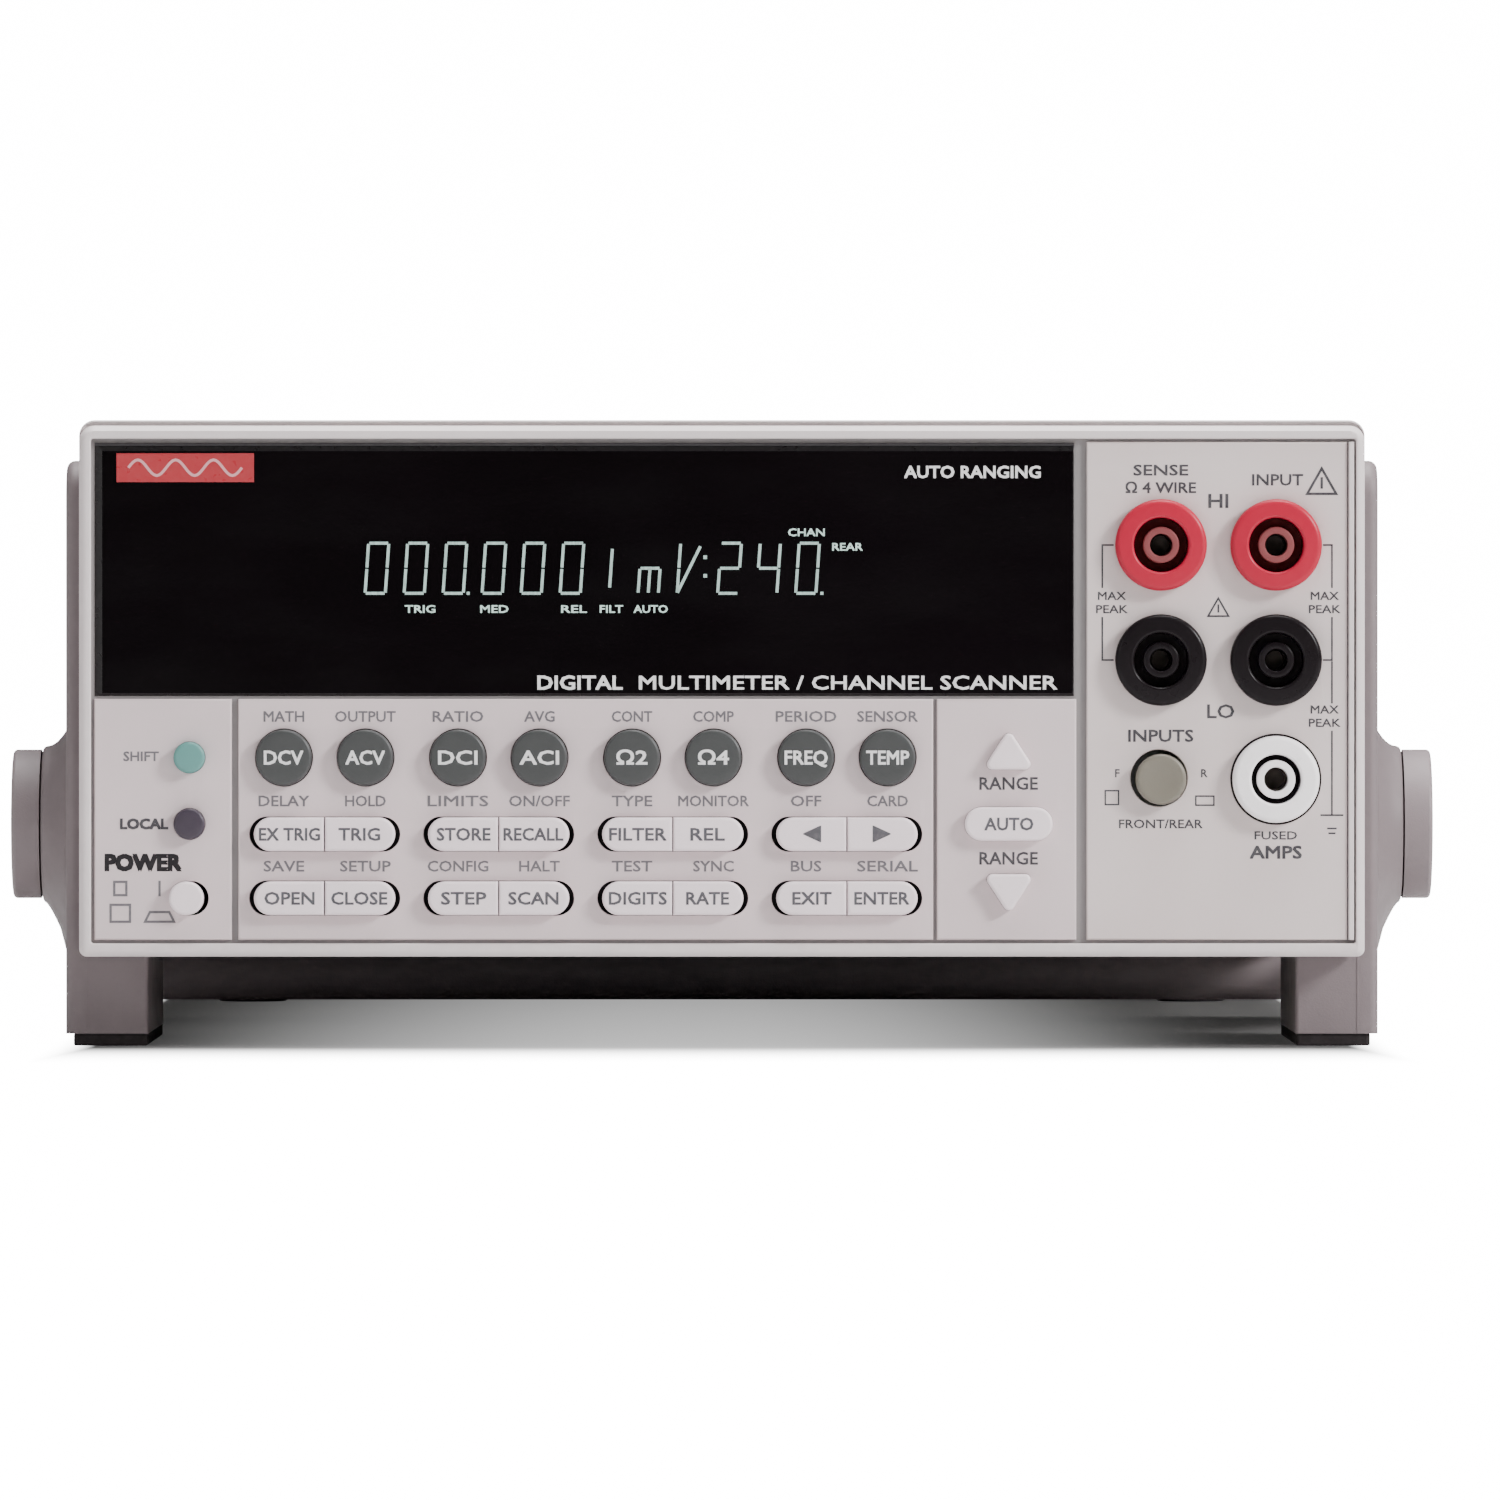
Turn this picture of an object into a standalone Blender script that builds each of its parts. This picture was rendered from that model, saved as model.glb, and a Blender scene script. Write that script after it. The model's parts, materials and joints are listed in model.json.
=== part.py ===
"""Half-rack bench multimeter, 2U high, with a folding carry handle that is also its tilt stand.

Frame: +X to the right of somebody facing the front panel, +Y from the front panel to the rear, +Z up.
The origin is on the bench, under the centre of the instrument's box. All lengths are in metres.
"""

from math import cos, hypot, pi, radians, sin

import bmesh
import bpy
from mathutils import Vector

# ---------------------------------------------------------------- driving dimensions
OVERALL_DEPTH = 0.370
OVERALL_WIDTH = 0.238
BEZEL_WIDTH = 0.213
BEZEL_HEIGHT = 0.0889
FOOT_HEIGHT = 0.0151
GAP = 0.0003  # clearance between neighbouring pieces

JACK_PITCH = 0.01905  # both ways, the standard spacing of 4 mm sockets
SOCKET_RADIUS = 0.002

# ---------------------------------------------------------------- planes along Y
JACK_FACE_Y = -OVERALL_DEPTH / 2
BEZEL_FRONT_Y = JACK_FACE_Y + 0.002
TILE_Y = BEZEL_FRONT_Y + 0.0006
WALL = 0.0025
WALL_BACK_Y = TILE_Y + WALL
BEZEL_BACK_Y = BEZEL_FRONT_Y + 0.014
REAR_BEZEL_BACK_Y = OVERALL_DEPTH / 2
REAR_BEZEL_FRONT_Y = REAR_BEZEL_BACK_Y - 0.0117
COVER_FRONT_Y = BEZEL_BACK_Y + GAP
COVER_BACK_Y = REAR_BEZEL_FRONT_Y - GAP
REAR_PANEL_Y = COVER_BACK_Y - 0.003
SHEET = 0.0012

# ---------------------------------------------------------------- levels along Z
BEZEL_BOTTOM = FOOT_HEIGHT
BEZEL_TOP = FOOT_HEIGHT + BEZEL_HEIGHT
COVER_STEP = 0.001  # the sleeve is this much smaller than the bezels all round
COVER_WIDTH = BEZEL_WIDTH - 2 * COVER_STEP
COVER_HEIGHT = BEZEL_HEIGHT - 2 * COVER_STEP
COVER_BOTTOM = BEZEL_BOTTOM + COVER_STEP

# ---------------------------------------------------------------- front panel layout
FRAME_INNER_X = 0.1045
FRAME_INNER_BOTTOM = 0.0173
FRAME_INNER_TOP = 0.1006
WINDOW_LEFT, WINDOW_RIGHT = -0.1042, 0.0586
WINDOW_BOTTOM, WINDOW_TOP = 0.0580, 0.1004
GROOVES_X = ((-0.0812, -0.0801), (0.0350, 0.0356), (0.0587, 0.0592))
GROOVE_DEPTH = 0.0007
TILE_TOP = 0.0570

FIRST_PAIR_X = -0.0658
PAIR_PITCH = 0.02883
KEY_PITCH = 0.0135
ROUND_ROW_Z = 0.0481
PILL_ROWS_Z = (0.0354, 0.0248)
SIDE_KEYS_X = -0.0882
LOCAL_KEY_Z = 0.0371
RANGE_KEYS_X = 0.0475
RANGE_UP_Z = 0.0499
RANGE_DOWN_Z = 0.0250
INNER_JACK_X = 0.0727
HIGH_JACK_Z = 0.0833
SELECTOR_Z = HIGH_JACK_Z - 0.0388  # the row of the current jack and the input selector

# ---------------------------------------------------------------- keys
KEY_PROUD = 0.0020
KEY_TRAVEL = 0.0012
KEY_BEVEL = 0.0004
FLANGE = 0.0008
FLANGE_THICKNESS = 0.0010
ROUND_KEY_RADIUS = 0.00465
SIDE_KEY_RADIUS = 0.0026
PILL_HALF_LENGTH = 0.0117
PILL_RADIUS = 0.0028
PILL_END_GAP = 0.0009
AUTO_KEY_LENGTH = 0.0146
TRIANGLE_CORNER = 0.0009
TRIANGLE_HALF_WIDTH = 0.0037
TRIANGLE_HEIGHT = 0.0056
POWER_KEY_X = SIDE_KEYS_X - 0.0005
POWER_KEY_LENGTH = 0.0058
POWER_END_GAP = 0.0009
POWER_ROD_RADIUS = 0.0020
SELECTOR_RADIUS = 0.0042
SELECTOR_HOLE_RADIUS = 0.0048

FUNCTION_KEYS = (
    "key_dc_volts", "key_ac_volts", "key_dc_amps", "key_ac_amps",
    "key_ohms_2_wire", "key_ohms_4_wire", "key_frequency", "key_temperature",
)
PILL_KEYS = (
    (
        "key_ext_trigger", "key_trigger", "key_store", "key_recall",
        "key_filter", "key_relative", "key_cursor_left", "key_cursor_right",
    ),
    (
        "key_open", "key_close", "key_step", "key_scan",
        "key_digits", "key_rate", "key_exit", "key_enter",
    ),
)

# ---------------------------------------------------------------- jacks
JACK_RIM_RADIUS = 0.00765
JACK_BODY_RADIUS = 0.0068
JACK_HOLE_RADIUS = JACK_BODY_RADIUS + GAP
SHROUD_OUTER_RADIUS = 0.00465
SHROUD_INNER_RADIUS = 0.0031
JACK_DEPTH = 0.021

# ---------------------------------------------------------------- mounting ears and handle
EAR_FRONT_Y = BEZEL_BACK_Y + 0.001
EAR_LENGTH = 0.072
EAR_BACK_Y = EAR_FRONT_Y + EAR_LENGTH
EAR_INNER_X = COVER_WIDTH / 2 + GAP
EAR_OUTER_X = 0.1093
EAR_TOP = 0.0975
LEG_INNER_X, LEG_OUTER_X = 0.0956, 0.1080
PAD_THICKNESS = 0.0017
PIVOT_Y = EAR_FRONT_Y + 0.024
PIVOT_Z = 0.0367
HUB_RADIUS = 0.0125
HUB_OUTER_X = OVERALL_WIDTH / 2
HUB_INNER_X = HUB_OUTER_X - 0.0047
BOSS_OUTER_X = HUB_INNER_X - GAP
PIVOT_PIN_RADIUS = 0.0050
PIVOT_PIN_LENGTH = 0.0038
BAR_Y = 0.016
BAR_Z = 0.0081
BAR_WIDTH = 0.022
BAR_THICKNESS = 0.0086
ARM_HEIGHT = 0.0150
ARM_INNER_X = EAR_OUTER_X + 0.0005
ARM_OUTER_X = 0.1141
REAR_FOOT_X, REAR_FOOT_Y = 0.088, 0.165
REAR_FOOT_RADIUS = 0.0075

# ---------------------------------------------------------------- inside and rear
MAT_FRONT_Y = WALL_BACK_Y + GAP + FLANGE_THICKNESS + KEY_TRAVEL + GAP
MAT_THICKNESS = 0.0015
DISPLAY_BOARD_Y = MAT_FRONT_Y + MAT_THICKNESS + 0.0011
BOARD_THICKNESS = 0.0016
MAIN_BOARD_Z = 0.0206
INLET_X = -0.0815
INLET_FRONT_Y = 0.150
INLET_HALF_WIDTH = 0.0136
INLET_LOW, INLET_HIGH = 0.0267, 0.0843
INLET_FLANGE = 0.0024  # how far it stands out, both around the body and behind the panel
FLANGE_Y = REAR_PANEL_Y + SHEET + GAP
SOCKET_Z = 0.0690
SOCKET_WIDTH, SOCKET_HEIGHT = 0.0240, 0.0165
SOCKET_DEPTH = 0.0160
DRAWER_Z = 0.0405
DRAWER_WIDTH, DRAWER_HEIGHT, DRAWER_DEPTH = 0.0240, 0.0140, 0.0180
CARD_SLOTS_Z = (0.0385, 0.0745)
CARD_SLOT_X = 0.0470
CARD_SLOT_WIDTH, CARD_SLOT_HEIGHT = 0.096, 0.0290
BUS_CONNECTOR = (-0.0355, 0.0760, 0.050, 0.0130)  # centre x, centre z, width, height
SERIAL_CONNECTOR = (-0.0445, 0.0360, 0.030, 0.0110)

# ---------------------------------------------------------------- materials: colour, roughness, metallic
FINISHES = {
    "bezel_plastic": ((0.62, 0.58, 0.56), 0.5, 0.0),
    "cover_paint": ((0.60, 0.58, 0.54), 0.5, 0.1),
    "window_black": ((0.004, 0.003, 0.004), 0.08, 0.0),
    "dark_key": ((0.085, 0.09, 0.09), 0.5, 0.0),
    "light_key": ((0.66, 0.62, 0.62), 0.45, 0.0),
    "shift_key": ((0.22, 0.47, 0.44), 0.45, 0.0),
    "local_key": ((0.09, 0.07, 0.11), 0.45, 0.0),
    "selector_grey": ((0.30, 0.27, 0.22), 0.45, 0.0),
    "jack_red": ((0.68, 0.04, 0.06), 0.3, 0.0),
    "jack_black": ((0.02, 0.015, 0.018), 0.3, 0.0),
    "jack_white": ((0.9, 0.87, 0.87), 0.3, 0.0),
    "handle_grey": ((0.30, 0.27, 0.28), 0.55, 0.0),
    "foot_rubber": ((0.02, 0.017, 0.018), 0.85, 0.0),
    "chassis_steel": ((0.60, 0.60, 0.58), 0.35, 1.0),
    "key_mat": ((0.05, 0.05, 0.05), 0.8, 0.0),
    "circuit_board": ((0.02, 0.16, 0.07), 0.4, 0.0),
    "tube_glass": ((0.05, 0.09, 0.08), 0.05, 0.0),
    "transformer_core": ((0.12, 0.10, 0.08), 0.5, 0.6),
    "black_plastic": ((0.015, 0.015, 0.016), 0.4, 0.0),
    "connector_metal": ((0.55, 0.55, 0.53), 0.3, 1.0),
}


def make_material(name):
    colour, roughness, metallic = FINISHES[name]
    material = bpy.data.materials.new(name)
    material.use_nodes = True
    shader = material.node_tree.nodes["Principled BSDF"]
    shader.inputs["Base Color"].default_value = (*colour, 1.0)
    shader.inputs["Roughness"].default_value = roughness
    shader.inputs["Metallic"].default_value = metallic
    material.diffuse_color = (*colour, 1.0)
    return material


# ---------------------------------------------------------------- outlines, as lists of 2-D points
def arc(centre, radius, start, end, steps):
    """Points on an arc from start to end, in degrees, both ends included."""
    angles = [radians(start + (end - start) * i / steps) for i in range(steps + 1)]
    return [(centre[0] + radius * cos(a), centre[1] + radius * sin(a)) for a in angles]


def circle(radius, segments, centre=(0, 0)):
    return arc(centre, radius, 0, 360, segments)[:-1]


def rectangle(left, right, low, high):
    return [(left, low), (right, low), (right, high), (left, high)]


def rounded_rectangle(left, right, low, high, radius, low_radius=None, steps=3):
    """A rectangle with round corners, anticlockwise. low_radius is for its two lower corners."""
    under = radius if low_radius is None else low_radius
    corners = (
        (right - radius, high - radius, radius, 0),
        (left + radius, high - radius, radius, 90),
        (left + under, low + under, under, 180),
        (right - under, low + under, under, 270),
    )
    points = []
    for x, z, r, start in corners:
        points += arc((x, z), r, start, start + 90, steps)
    return points


def pill(half_length, radius, steps=6):
    offset = half_length - radius
    return arc((offset, 0), radius, -90, 90, steps) + arc((-offset, 0), radius, 90, 270, steps)


def half_pill(inner, outer, radius, side, steps=6):
    """A key with one straight end, at inner, and one round end, at outer. side is +1 for a right half."""
    end = arc((outer - radius, 0), radius, -90, 90, steps)
    points = [(inner, -radius), *end, (inner, radius)]
    return [(side * x, z) for x, z in points]


def rounded_triangle(half_width, height, corner, grow=0.0, steps=3):
    """A triangle that points up, with round corners, centred on its box and grown evenly by grow."""
    slope = hypot(half_width, height)
    lean = 90 - Vector((half_width, height)).angle_signed(Vector((1, 0))) * 180 / pi
    inset = corner * (slope + half_width) / height
    base_x = half_width - inset
    base_z = -height / 2 + corner
    apex_z = height / 2 - corner * slope / half_width
    radius = corner + grow
    return (
        arc((base_x, base_z), radius, -90, lean, steps)
        + arc((0, apex_z), radius, lean, 180 - lean, steps)
        + arc((-base_x, base_z), radius, 180 - lean, 270, steps)
    )


def centred(x, z, width, height, grow=0.0):
    half_w, half_h = width / 2 + grow, height / 2 + grow
    return rectangle(x - half_w, x + half_w, z - half_h, z + half_h)


def shifted(points, x, z):
    return [(x + px, z + pz) for px, pz in points]


def mirrored(points, side):
    """A 2-D outline on the right side, or its mirror image where side is -1."""
    return [(side * x, z) for x, z in points]


# ---------------------------------------------------------------- solids
def along_y(points, y):
    return [Vector((x, y, z)) for x, z in points]


def along_x(points, x):
    """points are (y, z)."""
    return [Vector((x, y, z)) for y, z in points]


def along_z(points, z):
    """points are (x, y)."""
    return [Vector((x, y, z)) for x, y in points]


def add_loft(bm, loops, ring=False):
    """Joins loops of equal length by walls. A ring joins its last loop to its first; otherwise the ends
    are capped."""
    rows = [[bm.verts.new(p) for p in loop] for loop in loops]
    pairs = list(zip(rows, rows[1:]))
    if ring:
        pairs.append((rows[-1], rows[0]))
    else:
        bm.faces.new(rows[0])
        bm.faces.new(rows[-1])
    count = len(rows[0])
    for one, two in pairs:
        for i in range(count):
            j = (i + 1) % count
            bm.faces.new((one[i], one[j], two[j], two[i]))


def add_box(bm, low, high):
    add_loft(bm, [along_z(rectangle(low[0], high[0], low[1], high[1]), z) for z in (low[2], high[2])])


def add_turned(bm, profile, segments):
    """Turns a profile of (radius, y) about the Y axis. It starts and ends on the axis."""
    verts = [bm.verts.new((r, y, 0)) for r, y in profile]
    edges = [bm.edges.new(pair) for pair in zip(verts, verts[1:])]
    bmesh.ops.spin(
        bm, geom=verts + edges, cent=(0, 0, 0), axis=(0, 1, 0), angle=2 * pi, steps=segments
    )
    bmesh.ops.remove_doubles(bm, verts=bm.verts, dist=1e-6)


def mesh_from(name, bm):
    bmesh.ops.recalc_face_normals(bm, faces=bm.faces)
    mesh = bpy.data.meshes.new(name)
    bm.to_mesh(mesh)
    bm.free()
    mesh.shade_smooth()
    mesh.set_sharp_from_angle(angle=radians(35))
    return mesh


def place(name, mesh, finish=None, at=(0, 0, 0)):
    """A named object at its own origin, or, with no finish, a hidden cutter."""
    piece = bpy.data.objects.new(name, mesh)
    piece.location = at
    bpy.context.scene.collection.objects.link(piece)
    if finish:
        if not mesh.materials:
            mesh.materials.append(bpy.data.materials[finish])
    else:
        piece.hide_render = True
        piece.display_type = "WIRE"
    return piece


def solid(name, finish, *parts, at=(0, 0, 0)):
    """Each part is a function that adds one closed shape to the mesh."""
    bm = bmesh.new()
    for part in parts:
        part(bm)
    return place(name, mesh_from(name, bm), finish, at)


def place_cutter(name, *parts):
    return solid(name, None, *parts)


def loft(loops, ring=False):
    return lambda bm: add_loft(bm, loops, ring)


def box(low, high):
    return lambda bm: add_box(bm, low, high)


def turned(profile, segments):
    return lambda bm: add_turned(bm, profile, segments)


def plate(points, front, back):
    """An outline in X and Z, extruded along Y."""
    return loft([along_y(points, front), along_y(points, back)])


def combine(piece, operation, tool):
    modifier = piece.modifiers.new(tool.name, "BOOLEAN")
    modifier.operation = operation
    modifier.solver = "EXACT"
    modifier.object = tool
    return piece


# ---------------------------------------------------------------- front panel
def jack_places():
    outer_x = INNER_JACK_X + JACK_PITCH
    low_z = HIGH_JACK_Z - JACK_PITCH
    return {
        "sense_high_jack": (INNER_JACK_X, HIGH_JACK_Z, "jack_red"),
        "input_high_jack": (outer_x, HIGH_JACK_Z, "jack_red"),
        "sense_low_jack": (INNER_JACK_X, low_z, "jack_black"),
        "input_low_jack": (outer_x, low_z, "jack_black"),
        "current_fuse_jack": (outer_x, SELECTOR_Z, "jack_white"),
    }


def pair_centres():
    return [FIRST_PAIR_X + PAIR_PITCH * i for i in range(4)]


def round_key_places():
    """(name, x, z) of the function keys, two to each pair."""
    xs = [c + side * KEY_PITCH / 2 for c in pair_centres() for side in (-1, 1)]
    return [(name, x, ROUND_ROW_Z) for name, x in zip(FUNCTION_KEYS, xs)]


def triangle_outline(side, grow=0.0):
    """The range keys: side is +1 for the one that points up."""
    points = rounded_triangle(TRIANGLE_HALF_WIDTH, TRIANGLE_HEIGHT, TRIANGLE_CORNER, grow)
    return [(x, side * z) for x, z in points]


def panel_holes():
    """Outlines of every hole in the front wall, in X and Z."""
    holes = [rectangle(WINDOW_LEFT, WINDOW_RIGHT, WINDOW_BOTTOM, WINDOW_TOP)]
    for _, x, z in round_key_places():
        holes.append(circle(ROUND_KEY_RADIUS + GAP, 20, (x, z)))
    long_hole = pill(PILL_HALF_LENGTH + PILL_END_GAP, PILL_RADIUS + GAP)
    for x in pair_centres():
        holes += [shifted(long_hole, x, z) for z in PILL_ROWS_Z]
    for z in (ROUND_ROW_Z, LOCAL_KEY_Z):
        holes.append(circle(SIDE_KEY_RADIUS + GAP, 16, (SIDE_KEYS_X, z)))
    power_hole = pill((POWER_KEY_LENGTH + POWER_END_GAP + GAP) / 2, PILL_RADIUS + GAP)
    holes.append(shifted(power_hole, POWER_KEY_X + (POWER_END_GAP - GAP) / 2, PILL_ROWS_Z[1]))
    auto_hole = pill(AUTO_KEY_LENGTH / 2 + GAP, PILL_RADIUS + GAP)
    holes.append(shifted(auto_hole, RANGE_KEYS_X, LOCAL_KEY_Z))
    holes.append(shifted(triangle_outline(1, GAP), RANGE_KEYS_X, RANGE_UP_Z))
    holes.append(shifted(triangle_outline(-1, GAP), RANGE_KEYS_X, RANGE_DOWN_Z))
    for x, z, _ in jack_places().values():
        holes.append(circle(JACK_HOLE_RADIUS, 20, (x, z)))
    holes.append(circle(SELECTOR_HOLE_RADIUS, 20, (INNER_JACK_X, SELECTOR_Z)))
    return holes


def make_front_bezel():
    half = BEZEL_WIDTH / 2
    corner, low_corner, chamfer = 0.0026, 0.0014, 0.0008
    outer = rounded_rectangle(-half, half, BEZEL_BOTTOM, BEZEL_TOP, corner, low_corner)
    front = rounded_rectangle(
        -half + chamfer, half - chamfer, BEZEL_BOTTOM + chamfer, BEZEL_TOP - chamfer,
        corner - chamfer, low_corner - chamfer,
    )
    bezel = solid(
        "front_bezel", "bezel_plastic",
        loft([
            along_y(front, BEZEL_FRONT_Y),
            along_y(outer, BEZEL_FRONT_Y + chamfer),
            along_y(outer, BEZEL_BACK_Y),
        ]),
    )
    frame_side = 0.0022
    cavity = rectangle(
        -half + frame_side, half - frame_side, BEZEL_BOTTOM + frame_side, BEZEL_TOP - frame_side
    )
    beyond = 0.002  # how far the cutters stick out of what they cut
    back = place_cutter("bezel_cavity_cutter", plate(cavity, WALL_BACK_Y, BEZEL_BACK_Y + beyond))
    recess = rectangle(-FRAME_INNER_X, FRAME_INNER_X, FRAME_INNER_BOTTOM, FRAME_INNER_TOP)
    ahead = BEZEL_FRONT_Y - beyond
    front_recess = place_cutter("panel_recess_cutter", plate(recess, ahead, TILE_Y))
    through = WALL_BACK_Y + 0.0004
    cuts = [plate(hole, ahead, through) for hole in panel_holes()]
    for left, right in GROOVES_X:
        groove = rectangle(left, right, FRAME_INNER_BOTTOM + GAP, TILE_TOP)
        cuts.append(plate(groove, ahead, TILE_Y + GROOVE_DEPTH))
    holes = place_cutter("panel_holes_cutter", *cuts)
    combine(bezel, "DIFFERENCE", back)
    combine(bezel, "DIFFERENCE", front_recess)
    combine(bezel, "DIFFERENCE", holes)


def make_display_window():
    points = rectangle(
        WINDOW_LEFT + GAP, WINDOW_RIGHT - GAP, WINDOW_BOTTOM + GAP, WINDOW_TOP - GAP
    )
    set_back = 0.0002
    front, back = TILE_Y + set_back, WALL_BACK_Y + set_back
    solid("display_window", "window_black", plate(points, front, back))


# ---------------------------------------------------------------- keys
def key_mesh(name, outline, foot, bevelled):
    """A key from its face outline, its wider foot behind the wall and its smaller bevelled edge.
    Its origin is on the tile's surface, on the key's axis of travel."""
    foot_front = WALL + GAP
    foot_back = foot_front + FLANGE_THICKNESS
    bm = bmesh.new()
    add_loft(bm, [
        along_y(bevelled, -KEY_PROUD),
        along_y(outline, -KEY_PROUD + KEY_BEVEL),
        along_y(outline, foot_front),
        along_y(foot, foot_front),
        along_y(foot, foot_back),
    ])
    return mesh_from(name, bm)


def round_key_mesh(name, radius, segments):
    grow = (radius, radius + FLANGE, radius - KEY_BEVEL)
    return key_mesh(name, *[circle(r, segments) for r in grow])


def half_pill_mesh(name, side):
    """Half of a two-key pill. Its origin is at the centre of the pair."""
    inner = GAP / 2

    def outline(grow, inner_grow=0.0):
        outer = PILL_HALF_LENGTH + grow
        return half_pill(inner + inner_grow, outer, PILL_RADIUS + min(grow, FLANGE), side)

    return key_mesh(
        name, outline(0), outline(PILL_END_GAP + FLANGE / 2), outline(-KEY_BEVEL, KEY_BEVEL / 2)
    )


def make_keypad_keys():
    round_mesh = round_key_mesh("round_key", ROUND_KEY_RADIUS, 20)
    for name, x, z in round_key_places():
        place(name, round_mesh, "dark_key", (x, TILE_Y, z))
    halves = {side: half_pill_mesh(f"half_pill_key_{side}", side) for side in (-1, 1)}
    for names, z in zip(PILL_KEYS, PILL_ROWS_Z):
        for i, name in enumerate(names):
            side = 1 if i % 2 else -1
            place(name, halves[side], "light_key", (pair_centres()[i // 2], TILE_Y, z))


def make_side_keys():
    place("key_shift", round_key_mesh("shift_key", SIDE_KEY_RADIUS, 16), "shift_key",
          (SIDE_KEYS_X, TILE_Y, ROUND_ROW_Z))
    place("key_local", round_key_mesh("local_key", SIDE_KEY_RADIUS, 16), "local_key",
          (SIDE_KEYS_X, TILE_Y, LOCAL_KEY_Z))


def make_range_keys():
    half = AUTO_KEY_LENGTH / 2
    auto = key_mesh(
        "auto_key",
        pill(half, PILL_RADIUS),
        pill(half + FLANGE, PILL_RADIUS + FLANGE),
        pill(half - KEY_BEVEL, PILL_RADIUS - KEY_BEVEL),
    )
    place("key_auto_range", auto, "light_key", (RANGE_KEYS_X, TILE_Y, LOCAL_KEY_Z))
    for name, side, z in (("key_range_up", 1, RANGE_UP_Z), ("key_range_down", -1, RANGE_DOWN_Z)):
        mesh = key_mesh(
            name, triangle_outline(side), triangle_outline(side, FLANGE),
            triangle_outline(side, -KEY_BEVEL),
        )
        place(name, mesh, "light_key", (RANGE_KEYS_X, TILE_Y, z))


def make_power_button():
    """A push-push button, in at rest, and the long rod that works the mains switch at the rear."""
    half = POWER_KEY_LENGTH / 2
    key_back = 0.0032
    body = loft([
        along_y(pill(half - KEY_BEVEL, PILL_RADIUS - KEY_BEVEL), -KEY_PROUD),
        along_y(pill(half, PILL_RADIUS), -KEY_PROUD + KEY_BEVEL),
        along_y(pill(half, PILL_RADIUS), key_back),
    ])
    at = (POWER_KEY_X, TILE_Y, PILL_ROWS_Z[1])
    solid("power_button", "light_key", body, at=at)
    rod_front = key_back + GAP
    rod_back = INLET_FRONT_Y - 0.003 - TILE_Y
    rod = plate(circle(POWER_ROD_RADIUS, 10), rod_front, rod_back)
    solid("power_rod", "black_plastic", rod, at=at)


def make_input_selector():
    """A push-push button, in at rest, on the stem of the switch that picks the front or rear inputs."""
    edge = 0.0005
    proud = TILE_Y - JACK_FACE_Y
    button_back, stem_radius, stem_back = 0.0045, 0.0022, 0.0180
    profile = [
        (0, -proud), (SELECTOR_RADIUS - edge, -proud), (SELECTOR_RADIUS, -proud + edge),
        (SELECTOR_RADIUS, button_back), (stem_radius, button_back), (stem_radius, stem_back),
        (0, stem_back),
    ]
    solid("input_selector", "selector_grey", turned(profile, 20),
          at=(INNER_JACK_X, TILE_Y, SELECTOR_Z))


# ---------------------------------------------------------------- jacks
def make_jacks():
    """Shrouded 4 mm safety sockets. The white one is a bayonet fuse carrier, which turns."""
    proud = TILE_Y - JACK_FACE_Y
    rim_edge = 0.0007
    core_set_back = 0.0006
    shroud_floor, socket_floor = 0.012, 0.016
    profile = [
        (0, JACK_DEPTH),
        (JACK_BODY_RADIUS, JACK_DEPTH),
        (JACK_BODY_RADIUS, -GAP),
        (JACK_RIM_RADIUS, -GAP),
        (JACK_RIM_RADIUS, -proud + rim_edge),
        (JACK_RIM_RADIUS - rim_edge, -proud),
        (SHROUD_OUTER_RADIUS, -proud),
        (SHROUD_OUTER_RADIUS, shroud_floor),
        (SHROUD_INNER_RADIUS, shroud_floor),
        (SHROUD_INNER_RADIUS, -proud + core_set_back),
        (SOCKET_RADIUS, -proud + core_set_back),
        (SOCKET_RADIUS, socket_floor),
        (0, socket_floor),
    ]
    for name, (x, z, finish) in jack_places().items():
        solid(name, finish, turned(profile, 20), at=(x, TILE_Y, z))


# ---------------------------------------------------------------- case
def make_case_cover():
    """The painted sheet-metal sleeve, with cooling slots near the rear of both sides."""
    half = COVER_WIDTH / 2
    top = COVER_BOTTOM + COVER_HEIGHT
    corner = 0.0030
    outer = rounded_rectangle(-half, half, COVER_BOTTOM, top, corner)
    inner = rounded_rectangle(
        -half + SHEET, half - SHEET, COVER_BOTTOM + SHEET, top - SHEET, corner - SHEET
    )
    ends = (COVER_FRONT_Y, COVER_BACK_Y)
    cover = solid(
        "case_cover", "cover_paint",
        loft([
            along_y(outer, ends[0]), along_y(outer, ends[1]),
            along_y(inner, ends[1]), along_y(inner, ends[0]),
        ], ring=True),
    )
    slot_width, slot_pitch, slot_count = 0.0028, 0.0070, 8
    first_y, low, high = 0.095, 0.046, 0.078
    slots = []
    for i in range(slot_count):
        y = first_y + i * slot_pitch
        slots.append(box((-half - SHEET, y, low), (half + SHEET, y + slot_width, high)))
    combine(cover, "DIFFERENCE", place_cutter("cooling_slots_cutter", *slots))


def make_rear_bezel():
    half = BEZEL_WIDTH / 2
    side, base = 0.0080, 0.0075
    corner, inner_corner = 0.003, 0.002
    outer = rounded_rectangle(-half, half, BEZEL_BOTTOM, BEZEL_TOP, corner)
    inner = rounded_rectangle(
        -half + side, half - side, BEZEL_BOTTOM + base, BEZEL_TOP - base, inner_corner
    )
    solid(
        "rear_bezel", "handle_grey",
        loft([
            along_y(outer, REAR_BEZEL_FRONT_Y), along_y(outer, REAR_BEZEL_BACK_Y),
            along_y(inner, REAR_BEZEL_BACK_Y), along_y(inner, REAR_BEZEL_FRONT_Y),
        ], ring=True),
    )


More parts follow.
